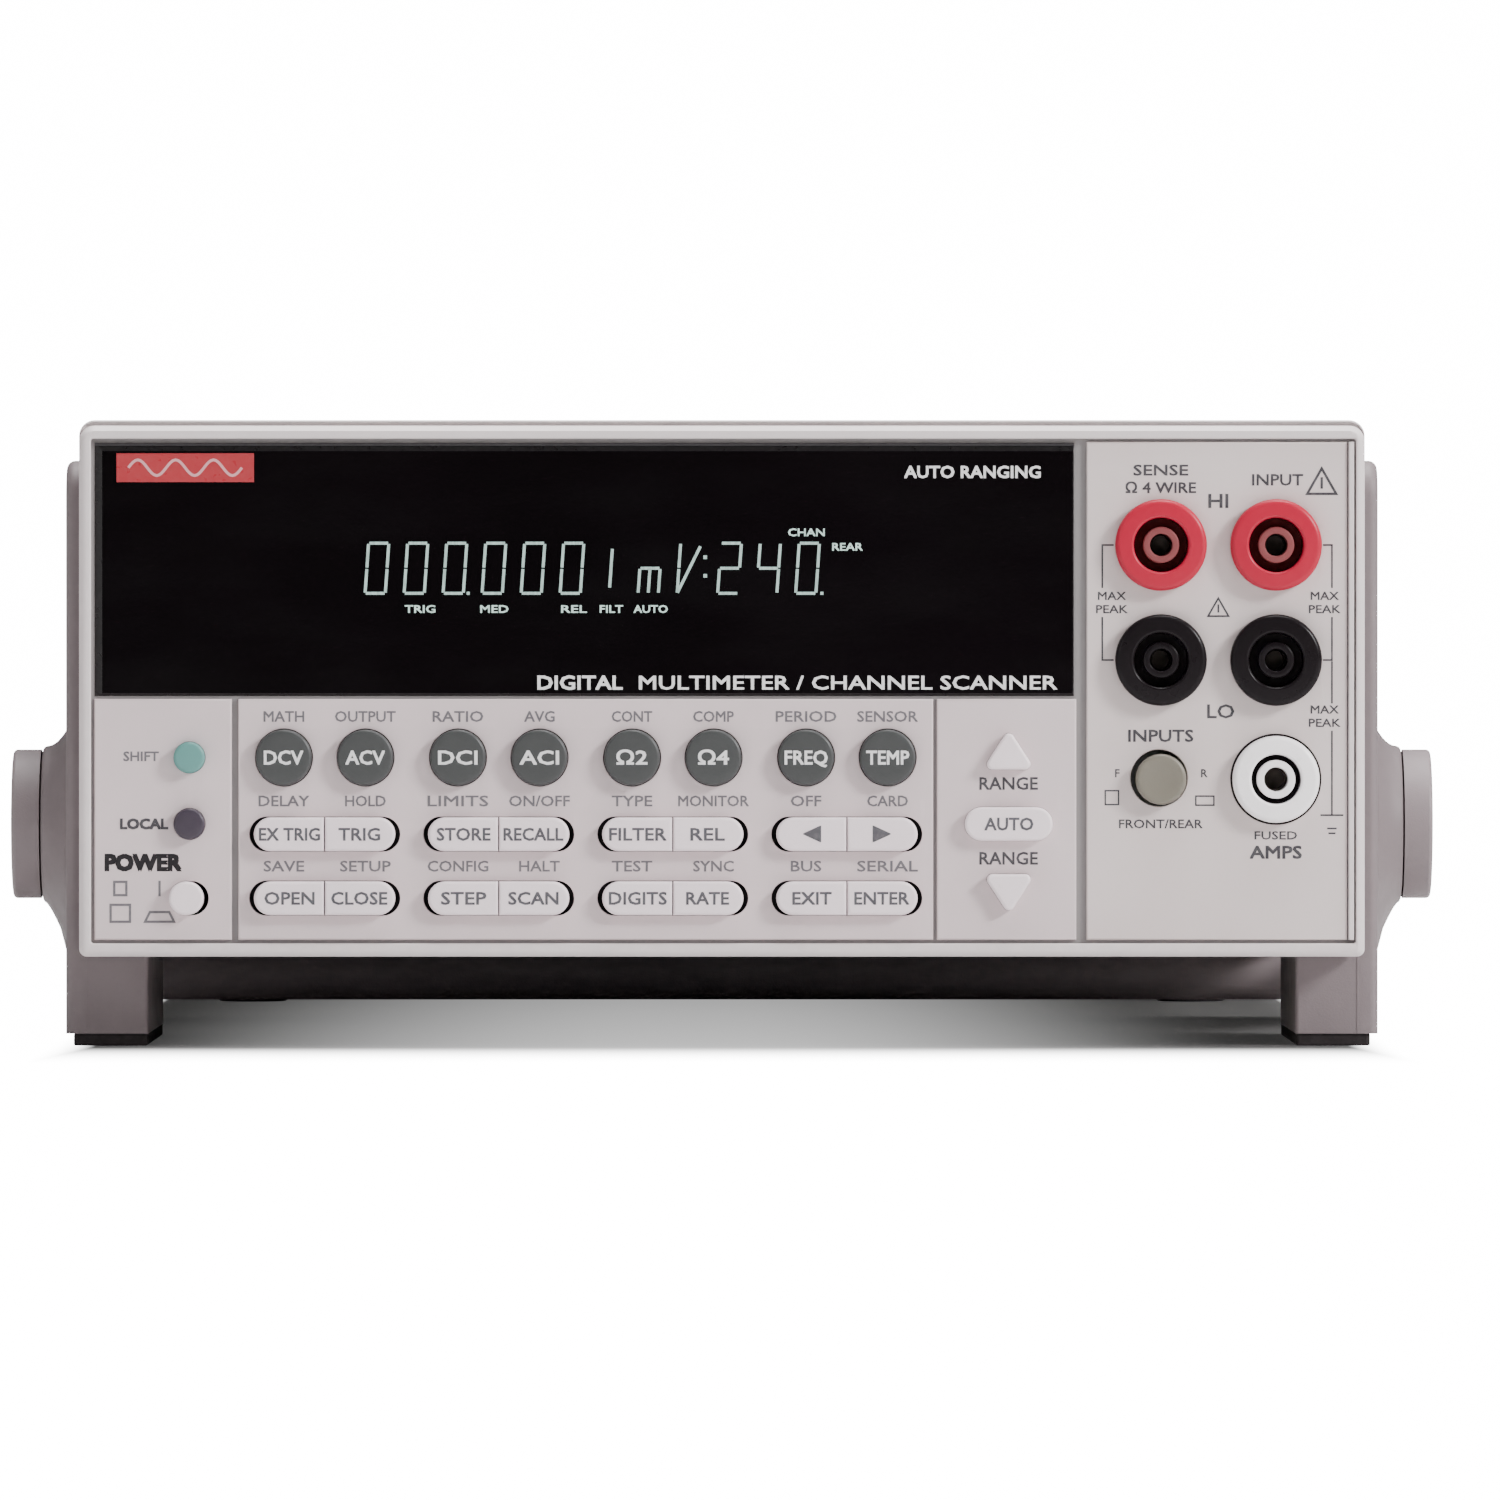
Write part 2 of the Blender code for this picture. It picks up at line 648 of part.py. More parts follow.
def make_rear_feet():
    """Two round feet under the rear of the sleeve."""
    height = COVER_BOTTOM - GAP
    edge_inset, edge_height = 0.0010, 0.002
    foot = bmesh.new()
    add_loft(foot, [
        along_z(circle(REAR_FOOT_RADIUS - edge_inset, 16), 0),
        along_z(circle(REAR_FOOT_RADIUS, 16), edge_height),
        along_z(circle(REAR_FOOT_RADIUS, 16), height),
    ])
    mesh = mesh_from("rear_foot", foot)
    for name, side in (("rear_foot_left", -1), ("rear_foot_right", 1)):
        place(name, mesh, "foot_rubber", (side * REAR_FOOT_X, REAR_FOOT_Y, 0))


# ---------------------------------------------------------------- ears and handle
def boss_outline(top_radius, bottom_radius, segments=24):
    """A round outline about the pivot that grows towards its underside."""
    points = []
    for i in range(segments):
        angle = 2 * pi * i / segments
        sag = (0.5 - 0.5 * sin(angle)) ** 2
        radius = top_radius + (bottom_radius - top_radius) * sag
        points.append((PIVOT_Y + radius * cos(angle), PIVOT_Z + radius * sin(angle)))
    return points


def make_ear(name, side):
    """A plate on the sleeve's side, a leg that hooks under the sleeve, and the boss that the handle
    turns on."""
    bottom = PAD_THICKNESS + GAP
    corner, leg_corner, inset = 0.006, 0.0008, 0.0002
    plate_outline = rounded_rectangle(EAR_FRONT_Y, EAR_BACK_Y, bottom, EAR_TOP, corner, steps=4)
    ear = solid(
        name, "handle_grey",
        loft([
            along_x(plate_outline, side * EAR_INNER_X),
            along_x(plate_outline, side * EAR_OUTER_X),
        ]),
    )
    leg = rounded_rectangle(
        LEG_INNER_X, EAR_INNER_X + 0.002, bottom, COVER_BOTTOM - GAP, leg_corner, steps=2
    )
    leg_tool = place_cutter(
        name + "_leg_tool", plate(mirrored(leg, side), EAR_FRONT_Y + inset, EAR_BACK_Y - inset)
    )
    flare = (  # x, and the radii towards the top and the underside
        (EAR_OUTER_X - 0.0010, 0.0176, 0.0222),
        (EAR_OUTER_X, 0.0170, 0.0208),
        (EAR_OUTER_X + 0.0025, 0.0138, 0.0168),
        (BOSS_OUTER_X, 0.0127, 0.0129),
    )
    boss_tool = place_cutter(
        name + "_boss_tool",
        loft([along_x(boss_outline(top, under), side * x) for x, top, under in flare]),
    )
    pin_bore = circle(PIVOT_PIN_RADIUS + GAP, 20, (PIVOT_Y, PIVOT_Z))
    bore_end = HUB_INNER_X - PIVOT_PIN_LENGTH - GAP
    bore_tool = place_cutter(
        name + "_bore_tool",
        loft([
            along_x(pin_bore, side * bore_end),
            along_x(pin_bore, side * (HUB_OUTER_X + 0.002)),
        ]),
    )
    combine(ear, "UNION", leg_tool)
    combine(ear, "UNION", boss_tool)
    combine(ear, "DIFFERENCE", bore_tool)


def make_ear_pad(name, side):
    inner_inset, outer_inset, end_inset = 0.0001, 0.0006, 0.0004
    outline = rectangle(LEG_INNER_X + inner_inset, LEG_OUTER_X - outer_inset, 0, PAD_THICKNESS)
    solid(
        name, "foot_rubber",
        plate(mirrored(outline, side), EAR_FRONT_Y + end_inset, EAR_BACK_Y - end_inset),
    )


def arm_loops(side):
    """Sections square to an arm's centre line, which runs from the pivot to the bar. Past the boss, the arm
    steps in beside the case. Points are relative to the pivot axis."""
    bar_y, bar_z = BAR_Y - PIVOT_Y, BAR_Z - PIVOT_Z
    reach = hypot(bar_y, bar_z)
    run, rise = bar_y / reach, bar_z / reach
    half, tip_half = ARM_HEIGHT / 2, BAR_THICKNESS / 2 - 0.0006
    sections = (  # distance along the arm, inner and outer x, half height
        (0.0060, HUB_INNER_X, HUB_OUTER_X, half),
        (0.0250, HUB_INNER_X, HUB_OUTER_X, half),
        (0.0275, ARM_INNER_X, HUB_OUTER_X, half),
        (0.0310, ARM_INNER_X, HUB_OUTER_X - 0.0010, half),
        (0.0370, ARM_INNER_X, ARM_OUTER_X, half),
        (reach * 0.6, ARM_INNER_X, ARM_OUTER_X, half),
        (reach + 0.0040, ARM_INNER_X, ARM_OUTER_X, tip_half),
    )
    loops = []
    for distance, inner, outer, height in sections:
        corners = ((inner, -height), (outer, -height), (outer, height), (inner, height))
        loops.append([
            Vector((side * x, run * distance - rise * h, rise * distance + run * h)) for x, h in corners
        ])
    return loops


def make_handle():
    """A bail: two hubs with pivot pins, two arms and the bar that lies under the case when it is folded.
    Its origin is on the pivot axis."""
    bar_y, bar_z = BAR_Y - PIVOT_Y, BAR_Z - PIVOT_Z
    half_w, half_t, corner = BAR_WIDTH / 2, BAR_THICKNESS / 2, 0.003
    bar = rounded_rectangle(bar_y - half_w, bar_y + half_w, bar_z - half_t, bar_z + half_t, corner)
    bar_end = ARM_OUTER_X + 0.0004
    handle = solid(
        "carry_handle", "handle_grey",
        loft([along_x(bar, -bar_end), along_x(bar, bar_end)]),
        at=(0, PIVOT_Y, PIVOT_Z),
    )
    hub = circle(HUB_RADIUS, 24)
    pin = circle(PIVOT_PIN_RADIUS, 20)
    pin_start, pin_root = HUB_INNER_X - PIVOT_PIN_LENGTH, HUB_INNER_X + 0.002
    for side, label in ((-1, "left"), (1, "right")):
        tools = (
            ("arm", arm_loops(side)),
            ("hub", [along_x(hub, side * x) for x in (HUB_INNER_X, HUB_OUTER_X)]),
            ("pin", [along_x(pin, side * x) for x in (pin_start, pin_root)]),
        )
        for kind, loops in tools:
            tool = place_cutter(f"handle_{label}_{kind}_tool", loft(loops))
            tool.location = handle.location
            combine(handle, "UNION", tool)


# ---------------------------------------------------------------- inside
def make_chassis():
    """A folded steel tray whose rear wall is the rear panel."""
    half = COVER_WIDTH / 2 - SHEET - GAP
    bottom = COVER_BOTTOM + SHEET + GAP
    top = COVER_BOTTOM + COVER_HEIGHT - SHEET - GAP
    flange_top = bottom + 0.012
    bend = 0.0009
    tray = [
        (-half + bend, bottom), (half - bend, bottom), (half, bottom + bend),
        (half, flange_top), (half - SHEET, flange_top),
        (half - SHEET, bottom + SHEET), (-half + SHEET, bottom + SHEET),
        (-half + SHEET, flange_top), (-half, flange_top), (-half, bottom + bend),
    ]
    tray_front = COVER_FRONT_Y + 0.003
    chassis = solid(
        "chassis", "chassis_steel", plate(tray, tray_front, REAR_PANEL_Y + SHEET / 2)
    )
    wall = rounded_rectangle(-half, half, bottom, top, 0.0020, steps=2)
    wall_tool = place_cutter("rear_wall_tool", plate(wall, REAR_PANEL_Y, REAR_PANEL_Y + SHEET))
    half_inlet = INLET_HALF_WIDTH + GAP
    cutouts = [
        rectangle(INLET_X - half_inlet, INLET_X + half_inlet, INLET_LOW - GAP, INLET_HIGH + GAP),
        centred(*BUS_CONNECTOR, grow=GAP),
        centred(*SERIAL_CONNECTOR, grow=GAP),
    ]
    lap = 0.006  # the covers are this much larger than their openings
    for z in CARD_SLOTS_Z:
        cutouts.append(centred(CARD_SLOT_X, z, CARD_SLOT_WIDTH - lap, CARD_SLOT_HEIGHT - lap))
    cutter = place_cutter(
        "rear_cutouts_cutter",
        *[plate(c, REAR_PANEL_Y - 0.002, REAR_PANEL_Y + 0.004) for c in cutouts],
    )
    combine(chassis, "UNION", wall_tool)
    combine(chassis, "DIFFERENCE", cutter)


def make_front_internals():
    """The silicone key mat, and the display board with its fluorescent tube behind the window."""
    left, bottom = -0.102, 0.0195
    mat_outline = rectangle(left, 0.056, bottom, 0.0545)
    board_outline = rectangle(left, 0.057, bottom, 0.0995)
    tube_outline = rounded_rectangle(-0.070, 0.034, 0.0640, 0.0950, 0.001, steps=1)
    passage = POWER_KEY_LENGTH + 4 * GAP, 2 * PILL_RADIUS + 4 * GAP
    hole = place_cutter(
        "rod_passage_cutter",
        plate(centred(POWER_KEY_X, PILL_ROWS_Z[1], *passage), MAT_FRONT_Y - 0.002, DISPLAY_BOARD_Y + 0.004),
    )
    mat = solid("key_mat", "key_mat", plate(mat_outline, MAT_FRONT_Y, MAT_FRONT_Y + MAT_THICKNESS))
    board = solid(
        "display_board", "circuit_board",
        plate(board_outline, DISPLAY_BOARD_Y, DISPLAY_BOARD_Y + BOARD_THICKNESS),
    )
    combine(mat, "DIFFERENCE", hole)
    combine(board, "DIFFERENCE", hole)
    tube_front = WALL_BACK_Y + 2 * GAP
    solid("display_tube", "tube_glass", plate(tube_outline, tube_front, DISPLAY_BOARD_Y - GAP))


def make_main_internals():
    """The measurement board on the tray, and the mains transformer on the board."""
    half_width, front, back = 0.096, -0.150, 0.145
    top = MAIN_BOARD_Z + BOARD_THICKNESS
    solid(
        "main_board", "circuit_board",
        box((-half_width, front, MAIN_BOARD_Z), (half_width, back, top)),
    )
    base, height, corner = top + GAP, 0.050, 0.004
    core = rounded_rectangle(-0.080, -0.022, base, base + height, corner, steps=2)
    solid("mains_transformer", "transformer_core", plate(core, 0.070, 0.125))


# ---------------------------------------------------------------- rear panel pieces
def make_power_inlet():
    """The mains inlet module: a socket with three blades, and a pocket for the fuse drawer."""
    left, right = INLET_X - INLET_HALF_WIDTH, INLET_X + INLET_HALF_WIDTH
    body = box((left, INLET_FRONT_Y, INLET_LOW), (right, FLANGE_Y, INLET_HIGH))
    inlet = solid("power_inlet", "black_plastic", body)
    flange = rounded_rectangle(
        left - INLET_FLANGE, right + INLET_FLANGE, INLET_LOW - INLET_FLANGE, INLET_HIGH + INLET_FLANGE,
        0.002, steps=2,
    )
    mouth = FLANGE_Y + INLET_FLANGE
    flange_tool = place_cutter("inlet_flange_tool", plate(flange, FLANGE_Y - 0.0001, mouth))
    socket = shifted([
        (-SOCKET_WIDTH / 2, -SOCKET_HEIGHT / 2), (SOCKET_WIDTH / 2, -SOCKET_HEIGHT / 2),
        (SOCKET_WIDTH / 2, SOCKET_HEIGHT / 4), (SOCKET_WIDTH / 4, SOCKET_HEIGHT / 2),
        (-SOCKET_WIDTH / 4, SOCKET_HEIGHT / 2), (-SOCKET_WIDTH / 2, SOCKET_HEIGHT / 4),
    ], INLET_X, SOCKET_Z)
    pocket = centred(INLET_X, DRAWER_Z, DRAWER_WIDTH, DRAWER_HEIGHT, grow=GAP)
    beyond = mouth + 0.003
    recesses = place_cutter(
        "inlet_recesses_cutter",
        plate(socket, mouth - SOCKET_DEPTH, beyond),
        plate(pocket, mouth - DRAWER_DEPTH - GAP, beyond),
    )
    blade_width, blade_height = 0.002, 0.004
    blade_y = (mouth - SOCKET_DEPTH - 0.001, mouth - 0.0044)
    blade_places = ((-0.007, -0.0020), (0.007, -0.0020), (0.0, 0.0025))
    blades = [
        plate(centred(INLET_X + dx, SOCKET_Z + dz, blade_width, blade_height), *blade_y)
        for dx, dz in blade_places
    ]
    blades_tool = place_cutter("inlet_blades_tool", *blades)
    combine(inlet, "UNION", flange_tool)
    combine(inlet, "DIFFERENCE", recesses)
    combine(inlet, "UNION", blades_tool)

    grip = 0.0010
    outline = centred(INLET_X, DRAWER_Z, DRAWER_WIDTH, DRAWER_HEIGHT)
    solid("fuse_drawer", "black_plastic", plate(outline, mouth - DRAWER_DEPTH, mouth + grip))


def make_card_covers():
    """Blank plates over the two option slots."""
    for name, z in zip(("card_cover_lower", "card_cover_upper"), CARD_SLOTS_Z):
        outline = centred(CARD_SLOT_X, z, CARD_SLOT_WIDTH, CARD_SLOT_HEIGHT)
        solid(name, "chassis_steel", plate(outline, FLANGE_Y, FLANGE_Y + SHEET))


def make_connectors():
    """D-shaped connector shells that pass through the rear panel."""
    places = (("bus_connector", BUS_CONNECTOR), ("serial_connector", SERIAL_CONNECTOR))
    lean = 0.0015
    front, back = REAR_PANEL_Y - 0.006, FLANGE_Y + 0.0055
    for name, (x, z, width, height) in places:
        outline = shifted([
            (-width / 2 + lean, -height / 2), (width / 2 - lean, -height / 2),
            (width / 2, height / 2), (-width / 2, height / 2),
        ], x, z)
        solid(name, "connector_metal", plate(outline, front, back))


# ---------------------------------------------------------------- assembly
def clear_scene():
    for piece in list(bpy.data.objects):
        bpy.data.objects.remove(piece, do_unlink=True)


def main():
    clear_scene()
    for name in FINISHES:
        make_material(name)
    make_front_bezel()
    make_display_window()
    make_keypad_keys()
    make_side_keys()
    make_range_keys()
    make_power_button()
    make_input_selector()
    make_jacks()
    make_case_cover()
    make_rear_bezel()
    make_rear_feet()
    for name, side in (("left", -1), ("right", 1)):
        make_ear(f"{name}_ear", side)
        make_ear_pad(f"{name}_ear_pad", side)
    make_handle()
    make_chassis()
    make_front_internals()
    make_main_internals()
    make_power_inlet()
    make_card_covers()
    make_connectors()


main()
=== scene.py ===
"""The looks of the bench multimeter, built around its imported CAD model.

Frame as in the CAD: +X right, +Y from the front panel to the rear, +Z up, all lengths in metres.
Most places are worked out from the CAD nodes' boxes. An outline is a list of 2-D points: (x, z) for
what faces the front or the rear, (y, z) for what faces a side, and (x, y) for what faces up or down.
"""

import json
from math import cos, pi, radians, sin

import bmesh
import bpy
from mathutils import Matrix, Vector


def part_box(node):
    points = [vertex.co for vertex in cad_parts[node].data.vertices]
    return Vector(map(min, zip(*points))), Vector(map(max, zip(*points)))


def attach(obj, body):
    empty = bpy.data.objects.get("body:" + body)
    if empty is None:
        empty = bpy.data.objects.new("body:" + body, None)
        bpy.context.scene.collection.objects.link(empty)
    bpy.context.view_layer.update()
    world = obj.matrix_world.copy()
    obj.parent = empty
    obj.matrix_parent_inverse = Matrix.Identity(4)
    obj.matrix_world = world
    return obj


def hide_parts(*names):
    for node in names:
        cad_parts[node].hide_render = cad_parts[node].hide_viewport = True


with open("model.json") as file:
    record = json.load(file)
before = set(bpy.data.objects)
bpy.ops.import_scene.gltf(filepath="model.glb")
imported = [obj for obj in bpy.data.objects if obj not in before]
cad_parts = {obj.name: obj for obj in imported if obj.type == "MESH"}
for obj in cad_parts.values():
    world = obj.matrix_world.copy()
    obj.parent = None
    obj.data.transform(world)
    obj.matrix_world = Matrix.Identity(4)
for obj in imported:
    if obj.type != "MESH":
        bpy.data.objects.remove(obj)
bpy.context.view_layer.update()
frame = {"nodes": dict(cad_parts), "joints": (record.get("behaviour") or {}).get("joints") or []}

# ------------------------ places read from the CAD
BEZEL_LOW, BEZEL_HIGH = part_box("front_bezel")
WINDOW_LOW, WINDOW_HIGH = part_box("display_window")
COVER_LOW, COVER_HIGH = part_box("case_cover")
CLEAR = 0.0003  # the gap that the CAD leaves between neighbours
BEZEL_FRONT = BEZEL_LOW.y
TILE_FRONT = WINDOW_LOW.y - 0.0002
WALL_BACK = TILE_FRONT + 0.0025
TILE_THICKNESS = 0.0012
TILE_BOTTOM = BEZEL_LOW.z + 0.0028
TILE_TOP = WINDOW_LOW.z - 0.0005
JACK_TILE_TOP = WINDOW_HIGH.z + 0.0003

# ------------------------ surface detail
TILE_EDGE = 0.00035
KEY_EDGE = 0.00055
HOLE_EDGE = 0.0002
FINE = 1e-6  # points closer than this are one


# ======================== materials
def new_material(name, colour, roughness, metallic=0.0, specular=0.5):
    material = bpy.data.materials.new(name)
    material.use_nodes = True
    shader = material.node_tree.nodes["Principled BSDF"]
    shader.inputs["Base Color"].default_value = (*colour, 1)
    shader.inputs["Roughness"].default_value = roughness
    shader.inputs["Metallic"].default_value = metallic
    shader.inputs["Specular IOR Level"].default_value = specular
    return material, material.node_tree, shader


def node(tree, kind, **settings):
    made = tree.nodes.new(kind)
    for key, value in settings.items():
        if key in made.inputs:
            made.inputs[key].default_value = value
        else:
            setattr(made, key, value)
    return made


def noise(tree, scale, detail, stretch=None):
    """Noise in the object's own metres. stretch squeezes the pattern along each axis."""
    coordinates = node(tree, "ShaderNodeTexCoord").outputs["Object"]
    if stretch:
        mapping = node(tree, "ShaderNodeMapping", Scale=stretch)
        tree.links.new(coordinates, mapping.inputs["Vector"])
        coordinates = mapping.outputs["Vector"]
    texture = node(tree, "ShaderNodeTexNoise", Scale=scale, Detail=detail)
    tree.links.new(coordinates, texture.inputs["Vector"])
    return texture.outputs["Fac"]


def remap(tree, value, low, high, to_low, to_high, interpolation="LINEAR"):
    made = node(tree, "ShaderNodeMapRange", interpolation_type=interpolation)
    limits = {"From Min": low, "From Max": high, "To Min": to_low, "To Max": to_high}
    for socket, limit in limits.items():
        made.inputs[socket].default_value = limit
    tree.links.new(value, made.inputs["Value"])
    return made.outputs["Result"]


def combine(tree, operation, *values):
    made = node(tree, "ShaderNodeMath", operation=operation)
    for socket, value in zip(made.inputs, values):
        tree.links.new(value, socket)
    return made.outputs[0]


def blend_colours(tree, factor, one, two):
    """one and two are colours, or sockets that hold a colour."""
    mix = node(tree, "ShaderNodeMix", data_type="RGBA")
    tree.links.new(factor, mix.inputs["Factor"])
    for socket, colour in ((mix.inputs[6], one), (mix.inputs[7], two)):
        if isinstance(colour, bpy.types.NodeSocket):
            tree.links.new(colour, socket)
        else:
            socket.default_value = (*colour, 1)
    return mix.outputs[2]


def tinted(colour, tone):
    """The colour made lighter or darker by a number, or the tone itself where that is a colour."""
    return tone if isinstance(tone, tuple) else tuple(min(1.0, c * tone) for c in colour)


def worn_edges(tree, colour, worn, amount):
    """Edges that hands and benches rub show the worn colour, broken up by noise."""
    pointed = node(tree, "ShaderNodeNewGeometry").outputs["Pointiness"]
    edge = remap(tree, pointed, 0.53, 0.62, 0.0, amount)
    patchy = remap(tree, noise(tree, 420, 4), 0.35, 0.7, 0.0, 1.0)
    return blend_colours(tree, combine(tree, "MULTIPLY", edge, patchy), colour, worn)


def surface(name, colour, roughness, start, layers, rough, bump, metallic=0.0, specular=0.5, worn=None):
    """A material whose base colour begins as the start tone. Each layer is (noise, low, high, amount, tone):
    as the noise goes from low to high, that tone comes in, up to that amount. rough is (noise, low, high,
    below, above) about the roughness, bump is (noise, depth, strength) and worn is (colour, amount)."""
    material, tree, shader = new_material(name, colour, roughness, metallic, specular)
    base = tinted(colour, start)
    for pattern, low, high, amount, tone in layers:
        share = remap(tree, noise(tree, *pattern), low, high, 0.0, amount)
        base = blend_colours(tree, share, base, tinted(colour, tone))
    if worn:
        base = worn_edges(tree, base, *worn)
    tree.links.new(base, shader.inputs["Base Color"])
    pattern, low, high, below, above = rough
    rough = remap(tree, noise(tree, *pattern), low, high, roughness - below, roughness + above)
    tree.links.new(rough, shader.inputs["Roughness"])
    pattern, depth, strength = bump
    add_bump(tree, shader, noise(tree, *pattern), depth, strength)
    return material


def add_bump(tree, shader, height, depth, strength):
    bump = node(tree, "ShaderNodeBump", Strength=strength, Distance=depth)
    tree.links.new(height, bump.inputs["Height"])
    tree.links.new(bump.outputs["Normal"], shader.inputs["Normal"])


def moulded(name, colour, roughness=0.5, wear=0.35, grain=5200, depth=0.00002, specular=0.4):
    """Moulded plastic: a fine spark-eroded grain, faint flow marks and rubbed edges."""
    layers = ((38, 4), 0.3, 0.7, 1.0, 1.03), ((2600, 2), 0.62, 0.78, 0.35, 0.86)
    rough = (260, 5), 0.25, 0.75, 0.07, 0.07
    return surface(name, colour, roughness, 0.965, layers, rough, ((grain, 2), depth, 0.6),
                   specular=specular, worn=(tinted(colour, 1.22), wear))


def painted(name, colour, roughness=0.45):
    """Baked paint on sheet steel: orange peel, a sparse fleck and a few rubbed patches."""
    layers = ((22, 5), 0.3, 0.7, 1.0, 1.03), ((1900, 3), 0.63, 0.72, 0.5, 0.72)
    rough = (120, 6), 0.3, 0.7, 0.09, 0.1
    return surface(name, colour, roughness, 0.96, layers, rough, ((1300, 3), 0.00004, 0.6),
                   specular=0.45, worn=((0.62, 0.61, 0.59), 0.5))


def rubber(name, colour):
    dusty = tuple(0.8 * c + 0.012 for c in colour)
    rough = (700, 4), 0.3, 0.7, 0.1, 0.12
    return surface(name, colour, 0.8, 1.0, [((300, 5), 0.5, 0.75, 0.5, dusty)], rough,
                   ((2400, 4), 0.00005, 0.6), specular=0.25)


def brushed(name, colour, roughness, stretch, scale=60):
    """Metal with a drawn or brushed grain: noise squeezed across the brushing direction."""
    lines = (scale, 8, stretch)
    rough = lines, 0.3, 0.7, 0.1, 0.12
    return surface(name, colour, roughness, 1.04, [((45, 5), 0.35, 0.75, 1.0, 0.86)], rough,
                   (lines, 0.00001, 0.6), metallic=1.0)


def filter_glass(name, colour=(0.0020, 0.0012, 0.0017)):
    """The smoked filter in front of the display: nearly black, with faint smears on its gloss."""
    smears = (30, 6, (1.0, 1.0, 3.0)), 0.4, 0.8, 0.06, 0.10
    return surface(name, colour, 0.16, 0.8, [((16, 3), 0.3, 0.7, 1.0, 1.5)], smears,
                   ((90, 2), 0.000008, 0.3), specular=0.10)


def ink(name, colour, roughness=0.55, thinned=0.3):
    """Pad-printed ink, a little thin in places."""
    paler = tuple(c + (0.45 - c) * 0.3 for c in colour)
    rough = (900, 3), 0.3, 0.7, 0.1, 0.1
    return surface(name, colour, roughness, 1.0, [((1500, 4), 0.45, 0.75, thinned, paler)], rough,
                   ((4200, 2), 0.00001, 0.6), specular=0.3)


def phosphor(name, colour, strength):
    """Lit segments of a fluorescent tube, crossed by the fine wires of its grid."""
    material, tree, shader = new_material(name, tinted(colour, 0.4), 0.6)
    wires = remap(tree, noise(tree, 2300, 1, (1.0, 1.0, 0.2)), 0.35, 0.65, 0.0, 1.0)
    glow = blend_colours(tree, wires, tinted(colour, 0.72), tinted(colour, 1.18))
    tree.links.new(glow, shader.inputs["Emission Color"])
    shader.inputs["Emission Strength"].default_value = strength
    rough = remap(tree, noise(tree, 800, 2), 0.3, 0.7, 0.5, 0.7)
    tree.links.new(rough, shader.inputs["Roughness"])
    return material


def circuit(name, green=(0.012, 0.11, 0.045), tin=(0.55, 0.55, 0.52)):
    """Solder mask over copper: darker ground, paler tracks and tinned dots."""
    material, tree, shader = new_material(name, green, 0.35)
    coordinates = node(tree, "ShaderNodeTexCoord").outputs["Object"]
    cells = node(tree, "ShaderNodeTexVoronoi", Scale=260.0, distance="MANHATTAN")
    tree.links.new(coordinates, cells.inputs["Vector"])
    tracks = remap(tree, cells.outputs["Distance"], 0.42, 0.5, 0.0, 0.8)
    pads = remap(tree, cells.outputs["Distance"], 0.13, 0.1, 0.0, 1.0)
    base = blend_colours(tree, pads, blend_colours(tree, tracks, green, tinted(green, 1.9)), tin)
    tree.links.new(base, shader.inputs["Base Color"])
    tree.links.new(remap(tree, pads, 0.0, 1.0, 0.42, 0.25), shader.inputs["Roughness"])
    add_bump(tree, shader, tracks, 0.00004, 0.6)
    return material


def laminated(name, colour=(0.11, 0.10, 0.09)):
    """The transformer's stacked core and wound tape."""
    sheets = (55, 2, (0.2, 30.0, 0.2))
    rough = sheets, 0.3, 0.7, 0.1, 0.15
    return surface(name, colour, 0.5, 0.6, [(sheets, 0.0, 1.0, 1.0, 1.6)], rough,
                   (sheets, 0.0001, 0.6), metallic=0.4)


